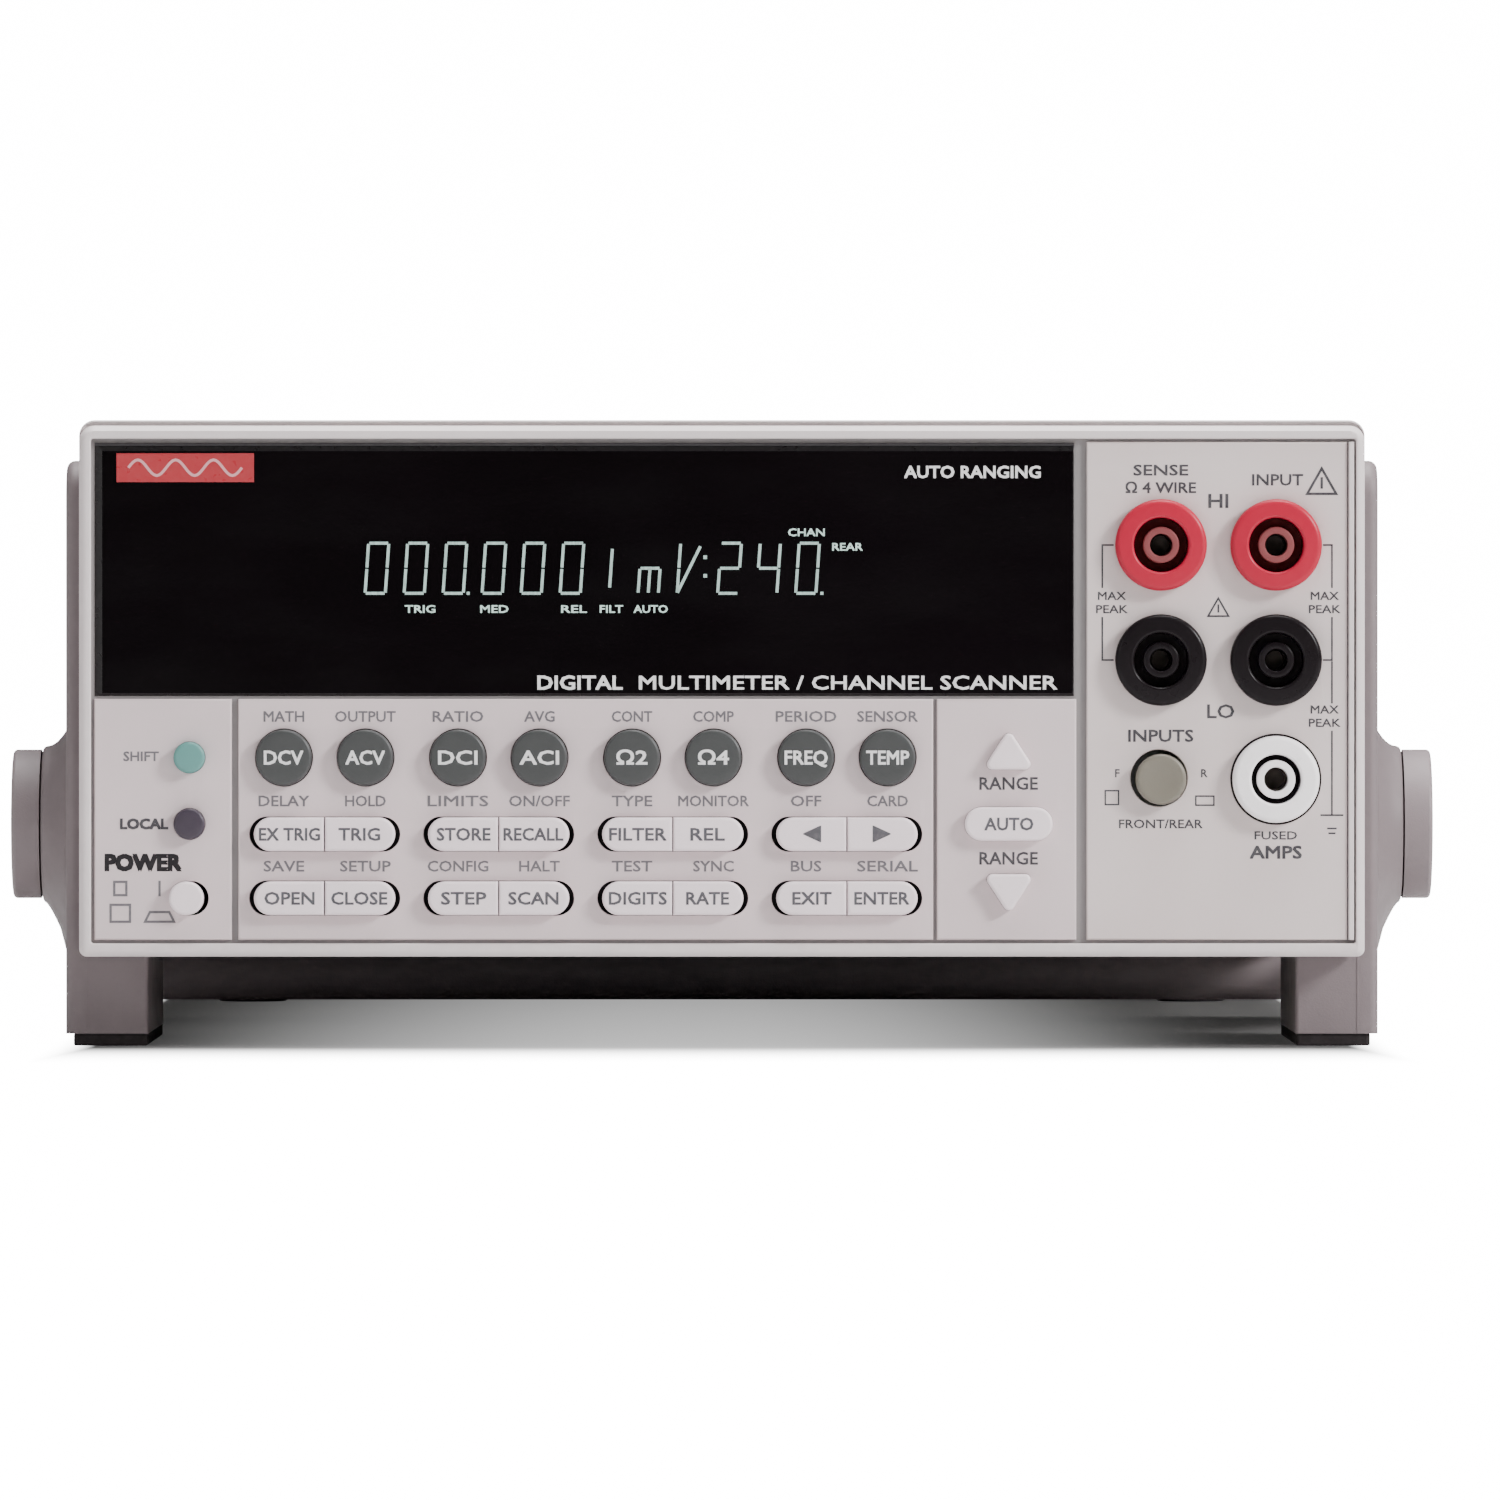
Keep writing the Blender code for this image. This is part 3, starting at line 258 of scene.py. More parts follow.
SLOTS = {  # of the materials whose slot has another name
    material: slot for slot, materials in (
        ("bezel_plastic", (
            "tile_plastic", "panel_plastic", "groove_plastic", "ink_grey", "ink_dark", "ink_black",
        )),
        ("window_black", ("window_edge", "badge_red", "ink_pink")),
        ("tube_glass", ("display_segments", "display_marks")),
        ("key_mat", ("key_skirt",)),
        ("jack_red", ("jack_red_core",)),
        ("jack_black", ("jack_slot", "jack_red_slot", "ink_key")),
        ("handle_grey", ("ear_grey",)),
        ("connector_metal", ("screw_steel", "contact_gold", "contact_nickel", "contact_dark")),
    ) for material in materials
}
MATERIALS = {}
for maker, recipes in (  # a recipe is a name, and what its maker takes after the name
    (moulded, (
        ("bezel_plastic", (0.67, 0.605, 0.605)),
        ("tile_plastic", (0.625, 0.53, 0.54), 0.55, 0.2),
        ("panel_plastic", (0.62, 0.54, 0.53), 0.55, 0.2),
        # painted shade: the backing's dark colour stands in for the shade in the joints between the tiles and
        # in the gaps round the keys
        ("groove_plastic", (0.24, 0.225, 0.225), 0.7, 0.0),
        ("dark_key", (0.047, 0.049, 0.049), 0.42, 0.15),
        ("light_key", (0.84, 0.735, 0.765), 0.45, 0.1),
        ("shift_key", (0.10, 0.26, 0.24), 0.4),
        ("local_key", (0.040, 0.030, 0.044), 0.4),
        ("selector_grey", (0.165, 0.15, 0.12), 0.4),
        ("jack_red", (0.40, 0.010, 0.034), 0.35, 0.0, 2600, 0.000005, 0.25),
        ("jack_red_core", (0.20, 0.050, 0.052), 0.45, 0.0, 2600, 0.000005, 0.25),
        ("jack_black", (0.0070, 0.005, 0.0060), 0.3, 0.0, 2600, 0.000005, 0.14),
        ("jack_white", (0.95, 0.91, 0.92), 0.3, 0.05, 2600, 0.00001, 0.5),
        ("handle_grey", (0.220, 0.183, 0.190), 0.55, 0.35, 3600, 0.00004),
        # painted shade: a darker copy of the handle's grey that paints the shade on the ears beside and under
        # the case
        ("ear_grey", (0.170, 0.140, 0.145), 0.55, 0.35, 3600, 0.00004),
        ("black_plastic", (0.018, 0.017, 0.018), 0.38, 0.2),
    )),
    (painted, [("cover_paint", (0.56, 0.54, 0.50))]),
    (rubber, (
        ("key_skirt", (0.030, 0.026, 0.028)),
        ("jack_slot", (0.012, 0.008, 0.009)),
        ("jack_red_slot", (0.090, 0.006, 0.008)),
        ("foot_rubber", (0.018, 0.014, 0.015)),
        ("key_mat", (0.03, 0.028, 0.03)),
    )),
    (brushed, (
        ("chassis_steel", (0.62, 0.62, 0.60), 0.4, (1.0, 1.0, 24.0)),
        ("connector_metal", (0.66, 0.65, 0.62), 0.28, (24.0, 1.0, 1.0)),
        ("screw_steel", (0.50, 0.50, 0.49), 0.3, (1.0, 6.0, 1.0), 500),
        ("contact_gold", (0.83, 0.63, 0.28), 0.25, (1.0, 8.0, 1.0), 400),
        ("contact_nickel", (0.42, 0.40, 0.39), 0.3, (1.0, 8.0, 1.0), 500),
        ("contact_dark", (0.10, 0.085, 0.075), 0.5, (1.0, 8.0, 1.0), 500),
    )),
    (ink, (
        ("window_edge", (0.007, 0.006, 0.0065), 0.35, 0.03),
        ("badge_red", (0.37, 0.034, 0.042), 0.35, 0.06),
        ("ink_white", (0.74, 0.73, 0.73)),
        ("ink_pink", (0.62, 0.30, 0.32)),
        ("ink_black", (0.010, 0.008, 0.010), 0.55, 0.05),
        ("ink_dark", (0.050, 0.046, 0.052)),
        ("ink_key", (0.085, 0.080, 0.090)),
        ("ink_grey", (0.135, 0.125, 0.135)),
    )),
    (phosphor, (
        ("display_segments", (0.36, 0.50, 0.46), 1.1),
        ("display_marks", (0.50, 0.68, 0.62), 1.2),
    )),
    (filter_glass, [["window_black"], ["tube_glass"]]),
    (circuit, [["circuit_board"]]),
    (laminated, [["transformer_core"]]),
):
    for name, *values in recipes:
        MATERIALS[name] = maker(name, *values)


# ======================== outlines
def arc(centre, radius, start, end, steps):
    """Points on an arc from start to end, in degrees, both ends included."""
    angles = [radians(start + (end - start) * i / steps) for i in range(steps + 1)]
    return [(centre[0] + radius * cos(a), centre[1] + radius * sin(a)) for a in angles]


def circle(radius, segments=48, centre=(0, 0)):
    return arc(centre, radius, 0, 360, segments)[:-1]


def rectangle(left, right, low, high):
    return [(left, low), (right, low), (right, high), (left, high)]


def rounded_rectangle(left, right, low, high, radius, steps=6, low_radius=None):
    """A rectangle with round corners, anticlockwise. low_radius is for its two lower corners."""
    under = radius if low_radius is None else low_radius
    corners = (
        (right - radius, high - radius, radius, 0),
        (left + radius, high - radius, radius, 90),
        (left + under, low + under, under, 180),
        (right - under, low + under, under, 270),
    )
    points = []
    for a, b, r, start in corners:
        points += arc((a, b), r, start, start + 90, steps)
    return points


def pill(half_length, radius, steps=14):
    offset = half_length - radius
    return arc((offset, 0), radius, -90, 90, steps) + arc((-offset, 0), radius, 90, 270, steps)


def shifted(points, a, b):
    return [(a + p, b + q) for p, q in points]


def filleted(points, radii, steps=5):
    """A closed outline whose corners are replaced by arcs of the given radii."""
    out = []
    count = len(points)
    for i, radius in enumerate(radii):
        here = Vector(points[i])
        before = (Vector(points[i - 1]) - here).normalized()
        after = (Vector(points[(i + 1) % count]) - here).normalized()
        half = before.angle(after) / 2
        if radius <= 0 or half > radians(89):
            out.append(tuple(here))
            continue
        reach = radius * cos(half) / sin(half)
        centre = here + (before + after).normalized() * (radius / sin(half))
        start, end = here + before * reach - centre, here + after * reach - centre
        for k in range(steps + 1):
            ray = start.lerp(end, k / steps).normalized() * radius
            out.append(tuple(centre + ray))
    return out


def inset(points, amount):
    """The outline moved evenly inwards, or outwards where amount is negative. It runs anticlockwise."""
    out = []
    count = len(points)
    for i, here in enumerate(points):
        before, after = points[i - 1], points[(i + 1) % count]
        one = Vector((here[0] - before[0], here[1] - before[1])).normalized()
        two = Vector((after[0] - here[0], after[1] - here[1])).normalized()
        normal = Vector((-one.y - two.y, one.x + two.x)) / max(0.2, 1 + one.dot(two))
        out.append((here[0] + normal.x * amount, here[1] + normal.y * amount))
    return out


def rounding(radius, steps=5, start=0.0, inwards=1, at=0.0, onwards=1):
    """(inset, depth) down a rounded edge, from the flat face to the full outline. The insets count inwards
    from start and the depths onwards from at, or the other way where inwards or onwards is -1."""
    turns = [pi / 2 * i / steps for i in range(steps + 1)]
    return [(start + inwards * radius * (1 - sin(t)), at + onwards * radius * (1 - cos(t))) for t in turns]


# ======================== meshes
def along_y(points, y):
    return [Vector((x, y, z)) for x, z in points]


def along_x(points, x):
    return [Vector((x, y, z)) for y, z in points]


def along_z(points, z):
    return [Vector((x, y, z)) for x, y in points]


def nested(outline, levels, to=along_y):
    """Loops that follow the outline. Each level is (how far inwards, where)."""
    return [to(inset(outline, amount), place) for amount, place in levels]


def add_loft(bm, loops, ring=False):
    """Walls between loops of equal length. A ring joins its last loop to its first, and the ends of
    anything else are capped."""
    rows = [[bm.verts.new(p) for p in loop] for loop in loops]
    pairs = list(zip(rows, rows[1:]))
    if ring:
        pairs.append((rows[-1], rows[0]))
    else:
        bm.faces.new(rows[0])
        bm.faces.new(rows[-1])
    count = len(rows[0])
    for one, two in pairs:
        for i in range(count):
            j = (i + 1) % count
            bm.faces.new((one[i], one[j], two[j], two[i]))


def add_slab(bm, outline, face, back, edge, to=along_y, back_edge=0.0):
    """An outline given thickness, from its face to its back, with rounded edges."""
    way = 1 if back > face else -1
    levels = rounding(edge, at=face, onwards=way)
    if back_edge:
        levels += reversed(rounding(back_edge, at=back, onwards=-way))
    else:
        levels.append((0.0, back))
    add_loft(bm, nested(outline, levels, to))


def add_turned(bm, profile, segments, at, axis="y"):
    """Turns (radius, distance) points about an axis through at. The profile starts and ends on the axis."""
    start = len(bm.verts)
    verts = [bm.verts.new((r, d, 0)) for r, d in profile]
    edges = [bm.edges.new(pair) for pair in zip(verts, verts[1:])]
    bmesh.ops.spin(bm, geom=verts + edges, cent=(0, 0, 0), axis=(0, 1, 0), angle=2 * pi, steps=segments)
    bm.verts.ensure_lookup_table()
    turned = bm.verts[start:]
    if axis == "x":
        bmesh.ops.rotate(bm, verts=turned, cent=(0, 0, 0), matrix=Matrix.Rotation(-pi / 2, 3, "Z"))
    elif axis == "z":
        bmesh.ops.rotate(bm, verts=turned, cent=(0, 0, 0), matrix=Matrix.Rotation(pi / 2, 3, "X"))
    bmesh.ops.remove_doubles(bm, verts=turned, dist=FINE)
    bmesh.ops.translate(bm, verts=bm.verts[start:], vec=at)


def loft(loops, ring=False):
    return lambda bm: add_loft(bm, loops, ring)


def slab(outline, face, back, edge, **settings):
    return lambda bm: add_slab(bm, outline, face, back, edge, **settings)


def turned(profile, at, segments, axis="y"):
    return lambda bm: add_turned(bm, profile, segments, at, axis)


def plain(outline, face, back, to=along_y):
    return loft([to(outline, face), to(outline, back)])


def flared_cutter(outline, face, back, edge):
    """A cutter for a hole whose front rim is rounded."""
    past_front, past_back = 0.002, 0.001
    rim = rounding(edge, 3, inwards=-1, at=face)
    levels = [(-edge, face - past_front), *rim, (0, back + past_back)]
    return loft(nested(outline, levels))


def mesh_of(parts):
    """Each part is a function that adds one closed shape to the mesh."""
    bm = bmesh.new()
    for part in parts:
        part(bm)
    bmesh.ops.recalc_face_normals(bm, faces=bm.faces)
    mesh = bpy.data.meshes.new("mesh")
    bm.to_mesh(mesh)
    bm.free()
    return mesh


def smooth(mesh, angle):
    mesh.shade_smooth()
    mesh.set_sharp_from_angle(angle=radians(angle))


def evaluated_mesh(piece):
    graph = bpy.context.evaluated_depsgraph_get()
    return bpy.data.meshes.new_from_object(piece.evaluated_get(graph))


def piece(name, material, body, *parts, slot=None, replaces=(), joins=(), cuts=(), angle=40):
    """A named piece of the visual model. joins are merged into it, and cuts are taken out of it."""
    made = bpy.data.objects.new(name, mesh_of(parts))
    bpy.context.scene.collection.objects.link(made)
    for operation, tools in (("UNION", joins), ("DIFFERENCE", cuts)):
        for tool in tools:
            apply_boolean(made, operation, tool)
    made.data.materials.clear()
    made.data.materials.append(MATERIALS[material])
    smooth(made.data, angle)
    even = made.modifiers.new("even_normals", "WEIGHTED_NORMAL")
    even.keep_sharp = True
    slot or SLOTS.get(material, material)
    if replaces:
        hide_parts(*replaces)
    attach(made, body)


def apply_boolean(made, operation, tool_parts):
    tool = bpy.data.objects.new("tool", mesh_of(tool_parts))
    bpy.context.scene.collection.objects.link(tool)
    modifier = made.modifiers.new("boolean", "BOOLEAN")
    modifier.operation = operation
    modifier.solver = "EXACT"
    modifier.object = tool
    mesh = evaluated_mesh(made)
    made.modifiers.clear()
    made.data = mesh
    bpy.data.objects.remove(tool)


def keep(node_name, material):
    """A CAD node that stays as it is, with a better material."""
    kept = frame["nodes"][node_name]
    kept.data.materials.clear()
    kept.data.materials.append(MATERIALS[material])


# ======================== printing
LETTER_HEIGHT = 0.682  # of the font's size
PRINT_HEIGHT = 0.00003
LAYER_STEP = 0.000002


def word(text, x, z, cap, width, bold):
    """Letters of that cap height centred on x and z, and drawn out to the width where one is given. bold
    widens their strokes by twice that length."""
    curve = bpy.data.curves.new("word", "FONT")
    curve.body = text
    curve.size = cap / LETTER_HEIGHT
    curve.align_x = "CENTER"
    curve.resolution_u = 2
    holder = bpy.data.objects.new("word", curve)
    bpy.context.scene.collection.objects.link(holder)
    mesh = evaluated_mesh(holder)
    bpy.data.objects.remove(holder)
    reach = [v.co.x for v in mesh.vertices]
    middle = (min(reach) + max(reach)) / 2
    stretch = width / (max(reach) - min(reach)) if width else 1.0
    for vertex in mesh.vertices:
        vertex.co.x = (vertex.co.x - middle) * stretch
        vertex.co.y -= cap / 2
    return mesh, x, z, bold


def add_letters(bm, mesh, x, z, y, layer):
    """Lays flat letters on the surface at y, as a thin closed layer of ink."""
    letters = bmesh.new()
    letters.from_mesh(mesh)
    bmesh.ops.remove_doubles(letters, verts=letters.verts, dist=FINE)
    faces = list(letters.faces)
    made = bmesh.ops.extrude_face_region(letters, geom=faces)
    lifted = [v for v in made["geom"] if isinstance(v, bmesh.types.BMVert)]
    thickness = 2 * PRINT_HEIGHT + layer * LAYER_STEP
    bmesh.ops.translate(letters, verts=lifted, vec=(0, 0, thickness))
    turn = Matrix.Rotation(pi / 2, 4, "X")
    letters.transform(Matrix.Translation((x, y + PRINT_HEIGHT, z)) @ turn)
    made = bpy.data.meshes.new("letters")
    letters.to_mesh(made)
    letters.free()
    bm.from_mesh(made)
    bpy.data.meshes.remove(made)


def lettering(words, y):
    """A part that prints words on the plane at y, five times over and slightly apart."""
    def add(bm):
        for mesh, x, z, bold in words:
            for layer, (right, up) in enumerate(((0, 0), (-1, -1), (1, -1), (1, 1), (-1, 1))):
                add_letters(bm, mesh, x + right * bold, z + up * bold, y, layer)
    return add


def print_words(name, material, body, words, y, *parts, slot=None):
    """A piece of printed words. Each is (text, x, z, cap height, width, bold)."""
    piece(name, material, body, lettering([word(*w) for w in words], y), *parts, slot=slot)


def stroke(start, end, width):
    """The outline of a straight line with square ends."""
    run = (Vector(end) - Vector(start)).normalized()
    side = Vector((-run.y, run.x)) * width / 2
    a, b = Vector(start), Vector(end)
    return [tuple(p) for p in (a - side, b - side, b + side, a + side)]


def printed(outline, y):
    return plain(outline, y - PRINT_HEIGHT, y + PRINT_HEIGHT)


def line(start, end, width, y):
    return printed(stroke(start, end, width), y)


def path(points, width, y, closed=False):
    """A thin printed line of even width through the points, with mitred corners."""
    count = len(points)
    places = [Vector(p) for p in points]
    sides = []
    for i, here in enumerate(places):
        runs = []
        if closed or i > 0:
            runs.append((here - places[i - 1]).normalized())
        if closed or i < count - 1:
            runs.append((places[(i + 1) % count] - here).normalized())
        turn = runs[0].dot(runs[-1])
        normal = Vector((-runs[0].y - runs[-1].y, runs[0].x + runs[-1].x)) / max(0.15, 1 + turn)
        sides.append((here - normal * width / 2, here + normal * width / 2))
    front, back = y - PRINT_HEIGHT, y + PRINT_HEIGHT
    loops = [
        [Vector((p.x, level, p.y)) for p, level in ((a, front), (b, front), (b, back), (a, back))]
        for a, b in sides
    ]
    return [loft(loops, closed)]


# ======================== front panel
def middle(node_name):
    low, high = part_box(node_name)
    return (low + high) / 2


def key_centre(node_name):
    """(x, z) of a key or jack."""
    centre = middle(node_name)
    return centre.x, centre.z


def within(low, high, left, right, under, over):
    """A box seen from the front, as a rectangle. Each side is moved inwards by its own amount."""
    return rectangle(low.x + left, high.x - right, low.z + under, high.z - over)


FUNCTION_KEYS = (
    "key_dc_volts", "key_ac_volts", "key_dc_amps", "key_ac_amps",
    "key_ohms_2_wire", "key_ohms_4_wire", "key_frequency", "key_temperature",
)
UPPER_PILLS = (
    "key_ext_trigger", "key_trigger", "key_store", "key_recall",
    "key_filter", "key_relative", "key_cursor_left", "key_cursor_right",
)
LOWER_PILLS = (
    "key_open", "key_close", "key_step", "key_scan",
    "key_digits", "key_rate", "key_exit", "key_enter",
)
RED = ("jack_red", "jack_red_core", "jack_red_slot")
BLACK = ("jack_black", "jack_black", "jack_slot")
WHITE = ("jack_white", "jack_white", "jack_slot")
FUSE_JACK = "current_fuse_jack"
JACKS = {  # the materials of a jack's body, core and slot floor
    "sense_high_jack": RED, "input_high_jack": RED, "sense_low_jack": BLACK, "input_low_jack": BLACK,
    FUSE_JACK: WHITE,
}
ROUND_KEY_RADIUS = 0.00465
SMALL_KEY_RADIUS = 0.0026
PILL_RADIUS = 0.0028
PILL_HALF_LENGTH = 0.0117
PILL_END_GAP = 0.0008
KEY_FACE = TILE_FRONT - 0.0020
JACK_HOLE_RADIUS = 0.0071
SELECTOR_HOLE_RADIUS = 0.0047
ROUND_GAP = 0.00012
TIGHT = 0.00005  # round the keys that hardly show a gap
PAIR_X = [(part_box(a)[1].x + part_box(b)[0].x) / 2 for a, b in zip(UPPER_PILLS[::2], UPPER_PILLS[1::2])]
PILL_ROWS = (middle("key_store").z, middle("key_open").z)
RANGE_X, AUTO_Z = key_centre("key_auto_range")
POWER_X, POWER_Z = key_centre("power_button")
POWER_HALF = (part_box("power_button")[1].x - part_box("power_button")[0].x) / 2
AUTO_HALF_LENGTH = 0.0073


def triangle(node_name, grow=0.0):
    """A range key's outline. The upper key points up, and the lower one down."""
    half_width, half_height, corner = 0.0044, 0.0034, 0.0009
    up = -1 if node_name == "key_range_down" else 1
    base = -up * half_height
    corners = [(-up * half_width, base), (up * half_width, base), (0, -base)]
    return inset(shifted(filleted(corners, [corner] * 3, 6), *key_centre(node_name)), -grow)


def hole_outlines():
    """Every hole in the panel: its outline, the rounding of its rim, and what is open in the backing."""
    pill_gap, pill_edge, dark_end = 0.00009, 0.0001, PILL_END_GAP - 0.00015
    holes = []

    def add(outline, edge, behind=None):
        holes.append((outline, edge, behind or outline))

    for key in FUNCTION_KEYS:
        add(circle(ROUND_KEY_RADIUS + ROUND_GAP, 48, key_centre(key)), ROUND_GAP)
    long_hole = pill(PILL_HALF_LENGTH + PILL_END_GAP, PILL_RADIUS + pill_gap)
    long_dark = pill(PILL_HALF_LENGTH + dark_end, PILL_RADIUS)
    for x in PAIR_X:
        for z in PILL_ROWS:
            add(shifted(long_hole, x, z), pill_edge, shifted(long_dark, x, z))
    for key in ("key_shift", "key_local"):
        add(circle(SMALL_KEY_RADIUS + TIGHT, 36, key_centre(key)), TIGHT)
    power_hole = pill(POWER_HALF + (PILL_END_GAP + TIGHT) / 2, PILL_RADIUS + TIGHT)
    power_dark = pill(POWER_HALF + dark_end / 2, PILL_RADIUS)
    add(
        shifted(power_hole, POWER_X + (PILL_END_GAP - TIGHT) / 2, POWER_Z), TIGHT,
        shifted(power_dark, POWER_X + dark_end / 2, POWER_Z),
    )
    auto_hole, auto_dark = (
        shifted(pill(AUTO_HALF_LENGTH + gap, PILL_RADIUS + gap), RANGE_X, AUTO_Z) for gap in (TIGHT, 0)
    )
    add(auto_hole, TIGHT, auto_dark)
    for key in ("key_range_up", "key_range_down"):
        add(triangle(key, TIGHT), TIGHT)
    for jack in JACKS:
        add(circle(JACK_HOLE_RADIUS, 48, key_centre(jack)), HOLE_EDGE)
    x, z = key_centre("input_selector")
    add(circle(SELECTOR_HOLE_RADIUS, 48, (x - 0.0003, z + 0.0002)), HOLE_EDGE)
    return holes


def make_bezel_frame():
    """The moulded surround. Its front part is a little lower than the rest, has a chamfer along its top and
    is set off by a shallow groove. The other edges are soft, and the opening is crisp."""
    outer_edge, inner_edge, back_edge = 0.0013, 0.0003, 0.0006
    wall, steps, corner, low_corner = 0.0022, 8, 0.0026, 0.0013
    lip_drop, front_drop, chamfer_drop = 0.0003, 0.0009, 0.0018
    lip_depth, groove_depth, groove_inset = 0.0014, 0.0021, 0.0004

    def outline_at(side_inset, top_drop):
        return rounded_rectangle(
            BEZEL_LOW.x + side_inset, BEZEL_HIGH.x - side_inset,
            BEZEL_LOW.z + side_inset, BEZEL_HIGH.z - top_drop,
            corner - side_inset, steps, low_corner - side_inset,
        )

    outline = outline_at(0, 0)
    opening = rounded_rectangle(
        BEZEL_LOW.x + 0.0020, BEZEL_HIGH.x - 0.0015,
        BEZEL_LOW.z + 0.0022, BEZEL_HIGH.z - 0.0031, 0.0004, steps,
    )
    back = BEZEL_HIGH.y
    loops = nested(outline, [(back_edge, back), (0, back - back_edge), (0, BEZEL_FRONT + lip_depth + 0.0001)])
    shoulders = [
        (0, lip_drop, lip_depth), (groove_inset, lip_drop, groove_depth),
        (groove_inset, front_drop, groove_depth),
    ]
    for side_inset, depth in reversed(rounding(outer_edge, 6)):
        drop = chamfer_drop + (front_drop - chamfer_drop) * depth / outer_edge
        shoulders.append((side_inset, drop, depth))
    loops += [along_y(outline_at(i, drop), BEZEL_FRONT + depth) for i, drop, depth in shoulders]
    loops += nested(opening, [*rounding(inner_edge, 4, inwards=-1, at=BEZEL_FRONT), (0, WALL_BACK)])
    loops += nested(outline, [(wall, WALL_BACK), (wall, back)])
    piece("front_bezel_frame", "bezel_plastic", "case", loft(loops, ring=True), replaces=("front_bezel",))


LEFT_TILE = (-0.10395, -0.0812)
KEY_TILE = (-0.0801, 0.0350)
RANGE_TILE = (0.0356, 0.0587)
JACK_TILE = (0.0604, 0.1036)
TILES = (
    ("power_tile", "tile_plastic", LEFT_TILE, TILE_TOP),
    ("keypad_tile", "tile_plastic", KEY_TILE, TILE_TOP),
    ("range_tile", "tile_plastic", RANGE_TILE, TILE_TOP),
    ("terminal_tile", "panel_plastic", JACK_TILE, JACK_TILE_TOP),
)


def make_panel():
    """Four bevelled tiles on a backing plate whose dark colour paints the shade in the joints between them
    and in the gaps round the keys.
    """
    holes = hole_outlines()
    tile_back = TILE_FRONT + TILE_THICKNESS
    for name, material, (left, right), top in TILES:
        cutters = [
            flared_cutter(outline, TILE_FRONT, WALL_BACK, edge)
            for outline, edge, _ in holes if left < outline[0][0] < right
        ]
        tile = slab(rectangle(left, right, TILE_BOTTOM, top), TILE_FRONT, tile_back, TILE_EDGE)
        piece(name, material, "case", tile, cuts=(cutters,))
    border, window_border, loose, past = 0.0016, 0.001, 0.0001, 0.001
    backing = within(BEZEL_LOW, BEZEL_HIGH, *[border] * 4)
    backing_front = tile_back - 0.0004
    window = within(WINDOW_LOW, WINDOW_HIGH, *[window_border] * 4)
    openings = [
        plain(inset(outline, -loose), backing_front - past, WALL_BACK + past)
        for outline in [*(behind for _, _, behind in holes), window]
    ]
    # painted shade: this dark backing shows in the tile joints and key gaps in place of their shade
    piece("panel_backing", "groove_plastic", "case", plain(backing, backing_front, WALL_BACK),
          cuts=(openings,))
    rim_left, rim_width = JACK_TILE[1] + 0.0002, 0.0009
    rim = rectangle(rim_left, rim_left + rim_width, TILE_BOTTOM, JACK_TILE_TOP)
    piece("terminal_tile_rim", "bezel_plastic", "case", slab(rim, BEZEL_FRONT + 0.0001, tile_back, 0.0002))


def make_window():
    """The black filter and its bevelled edge, and along its top a grey strip whose colour paints the light
    that the top of the bevel catches. The bevel is wide along the top, where it is steeper at first, and
    along the left edge."""
    bevel, half_bevel = (0.00125, 0.00015, 0.00045, 0.00125), (0.00095, 0.0001, 0.00034, 0.0007)
    depth, middle_depth, lift, inner_depth = 0.0005, 0.00012, 0.00002, 0.0003
    front = WINDOW_LOW.y
    outline = within(WINDOW_LOW, WINDOW_HIGH, 0, 0, 0, 0)
    face = within(WINDOW_LOW, WINDOW_HIGH, *bevel)
    half_way = within(WINDOW_LOW, WINDOW_HIGH, *half_bevel)
    filter_loops = [
        along_y(face, front), along_y(face, front + inner_depth),
        along_y(outline, front + depth), along_y(outline, WINDOW_HIGH.y),
    ]
    piece("window_filter", "window_black", "case", loft(filter_loops), replaces=("display_window",), angle=10)
    edge_loops = [
        along_y(face, front - lift), along_y(half_way, front + middle_depth - lift),
        along_y(outline, front + depth - lift), along_y(outline, front + depth + 0.0002),
        along_y(face, front + inner_depth),
    ]
    piece("window_bevel", "window_edge", "case", loft(edge_loops, ring=True), angle=10)
    # painted highlight: this grey strip stands in for the light on the top of the bevel
    highlight_strip = rectangle(WINDOW_LOW.x, WINDOW_HIGH.x, WINDOW_HIGH.z - 0.0004, WINDOW_HIGH.z + 0.0001)
    piece("window_highlight_strip", "key_mat", "case",
          slab(highlight_strip, front + 0.0001, front + 0.0020, 0.0001), slot="foot_rubber")


# ------------------------ the display
DIGIT_WIDTH, DIGIT_HEIGHT = 0.00335, 0.0083
DIGIT_PITCH = 0.00646
DIGIT_STROKE = 0.00048
DIGIT_SLANT = 0.07
DIGIT_GAP = 0.00012
FIRST_DIGIT_X = -0.0591
DISPLAY_FRONT = WINDOW_LOW.y - 0.00004
DIGITS_LOW = WINDOW_LOW.z + 0.0170
SEGMENTS = {
    "a": ((0, 1), (1, 1)), "b": ((1, 0.5), (1, 1)), "c": ((1, 0), (1, 0.5)), "d": ((0, 0), (1, 0)),
    "e": ((0, 0), (0, 0.5)), "f": ((0, 0.5), (0, 1)), "g": ((0, 0.5), (1, 0.5)),
    "h": ((0.5, 0), (0.5, 0.5)), "k": ((0, 0), (1, 0.95)), "u": ((0.5, 0.1), (0.5, 0.9)),
}
SHAPES = {"0": "abcdef", "1": "u", "2": "abged", "4": "fgbc", "m": "eghc", "V": "efk"}


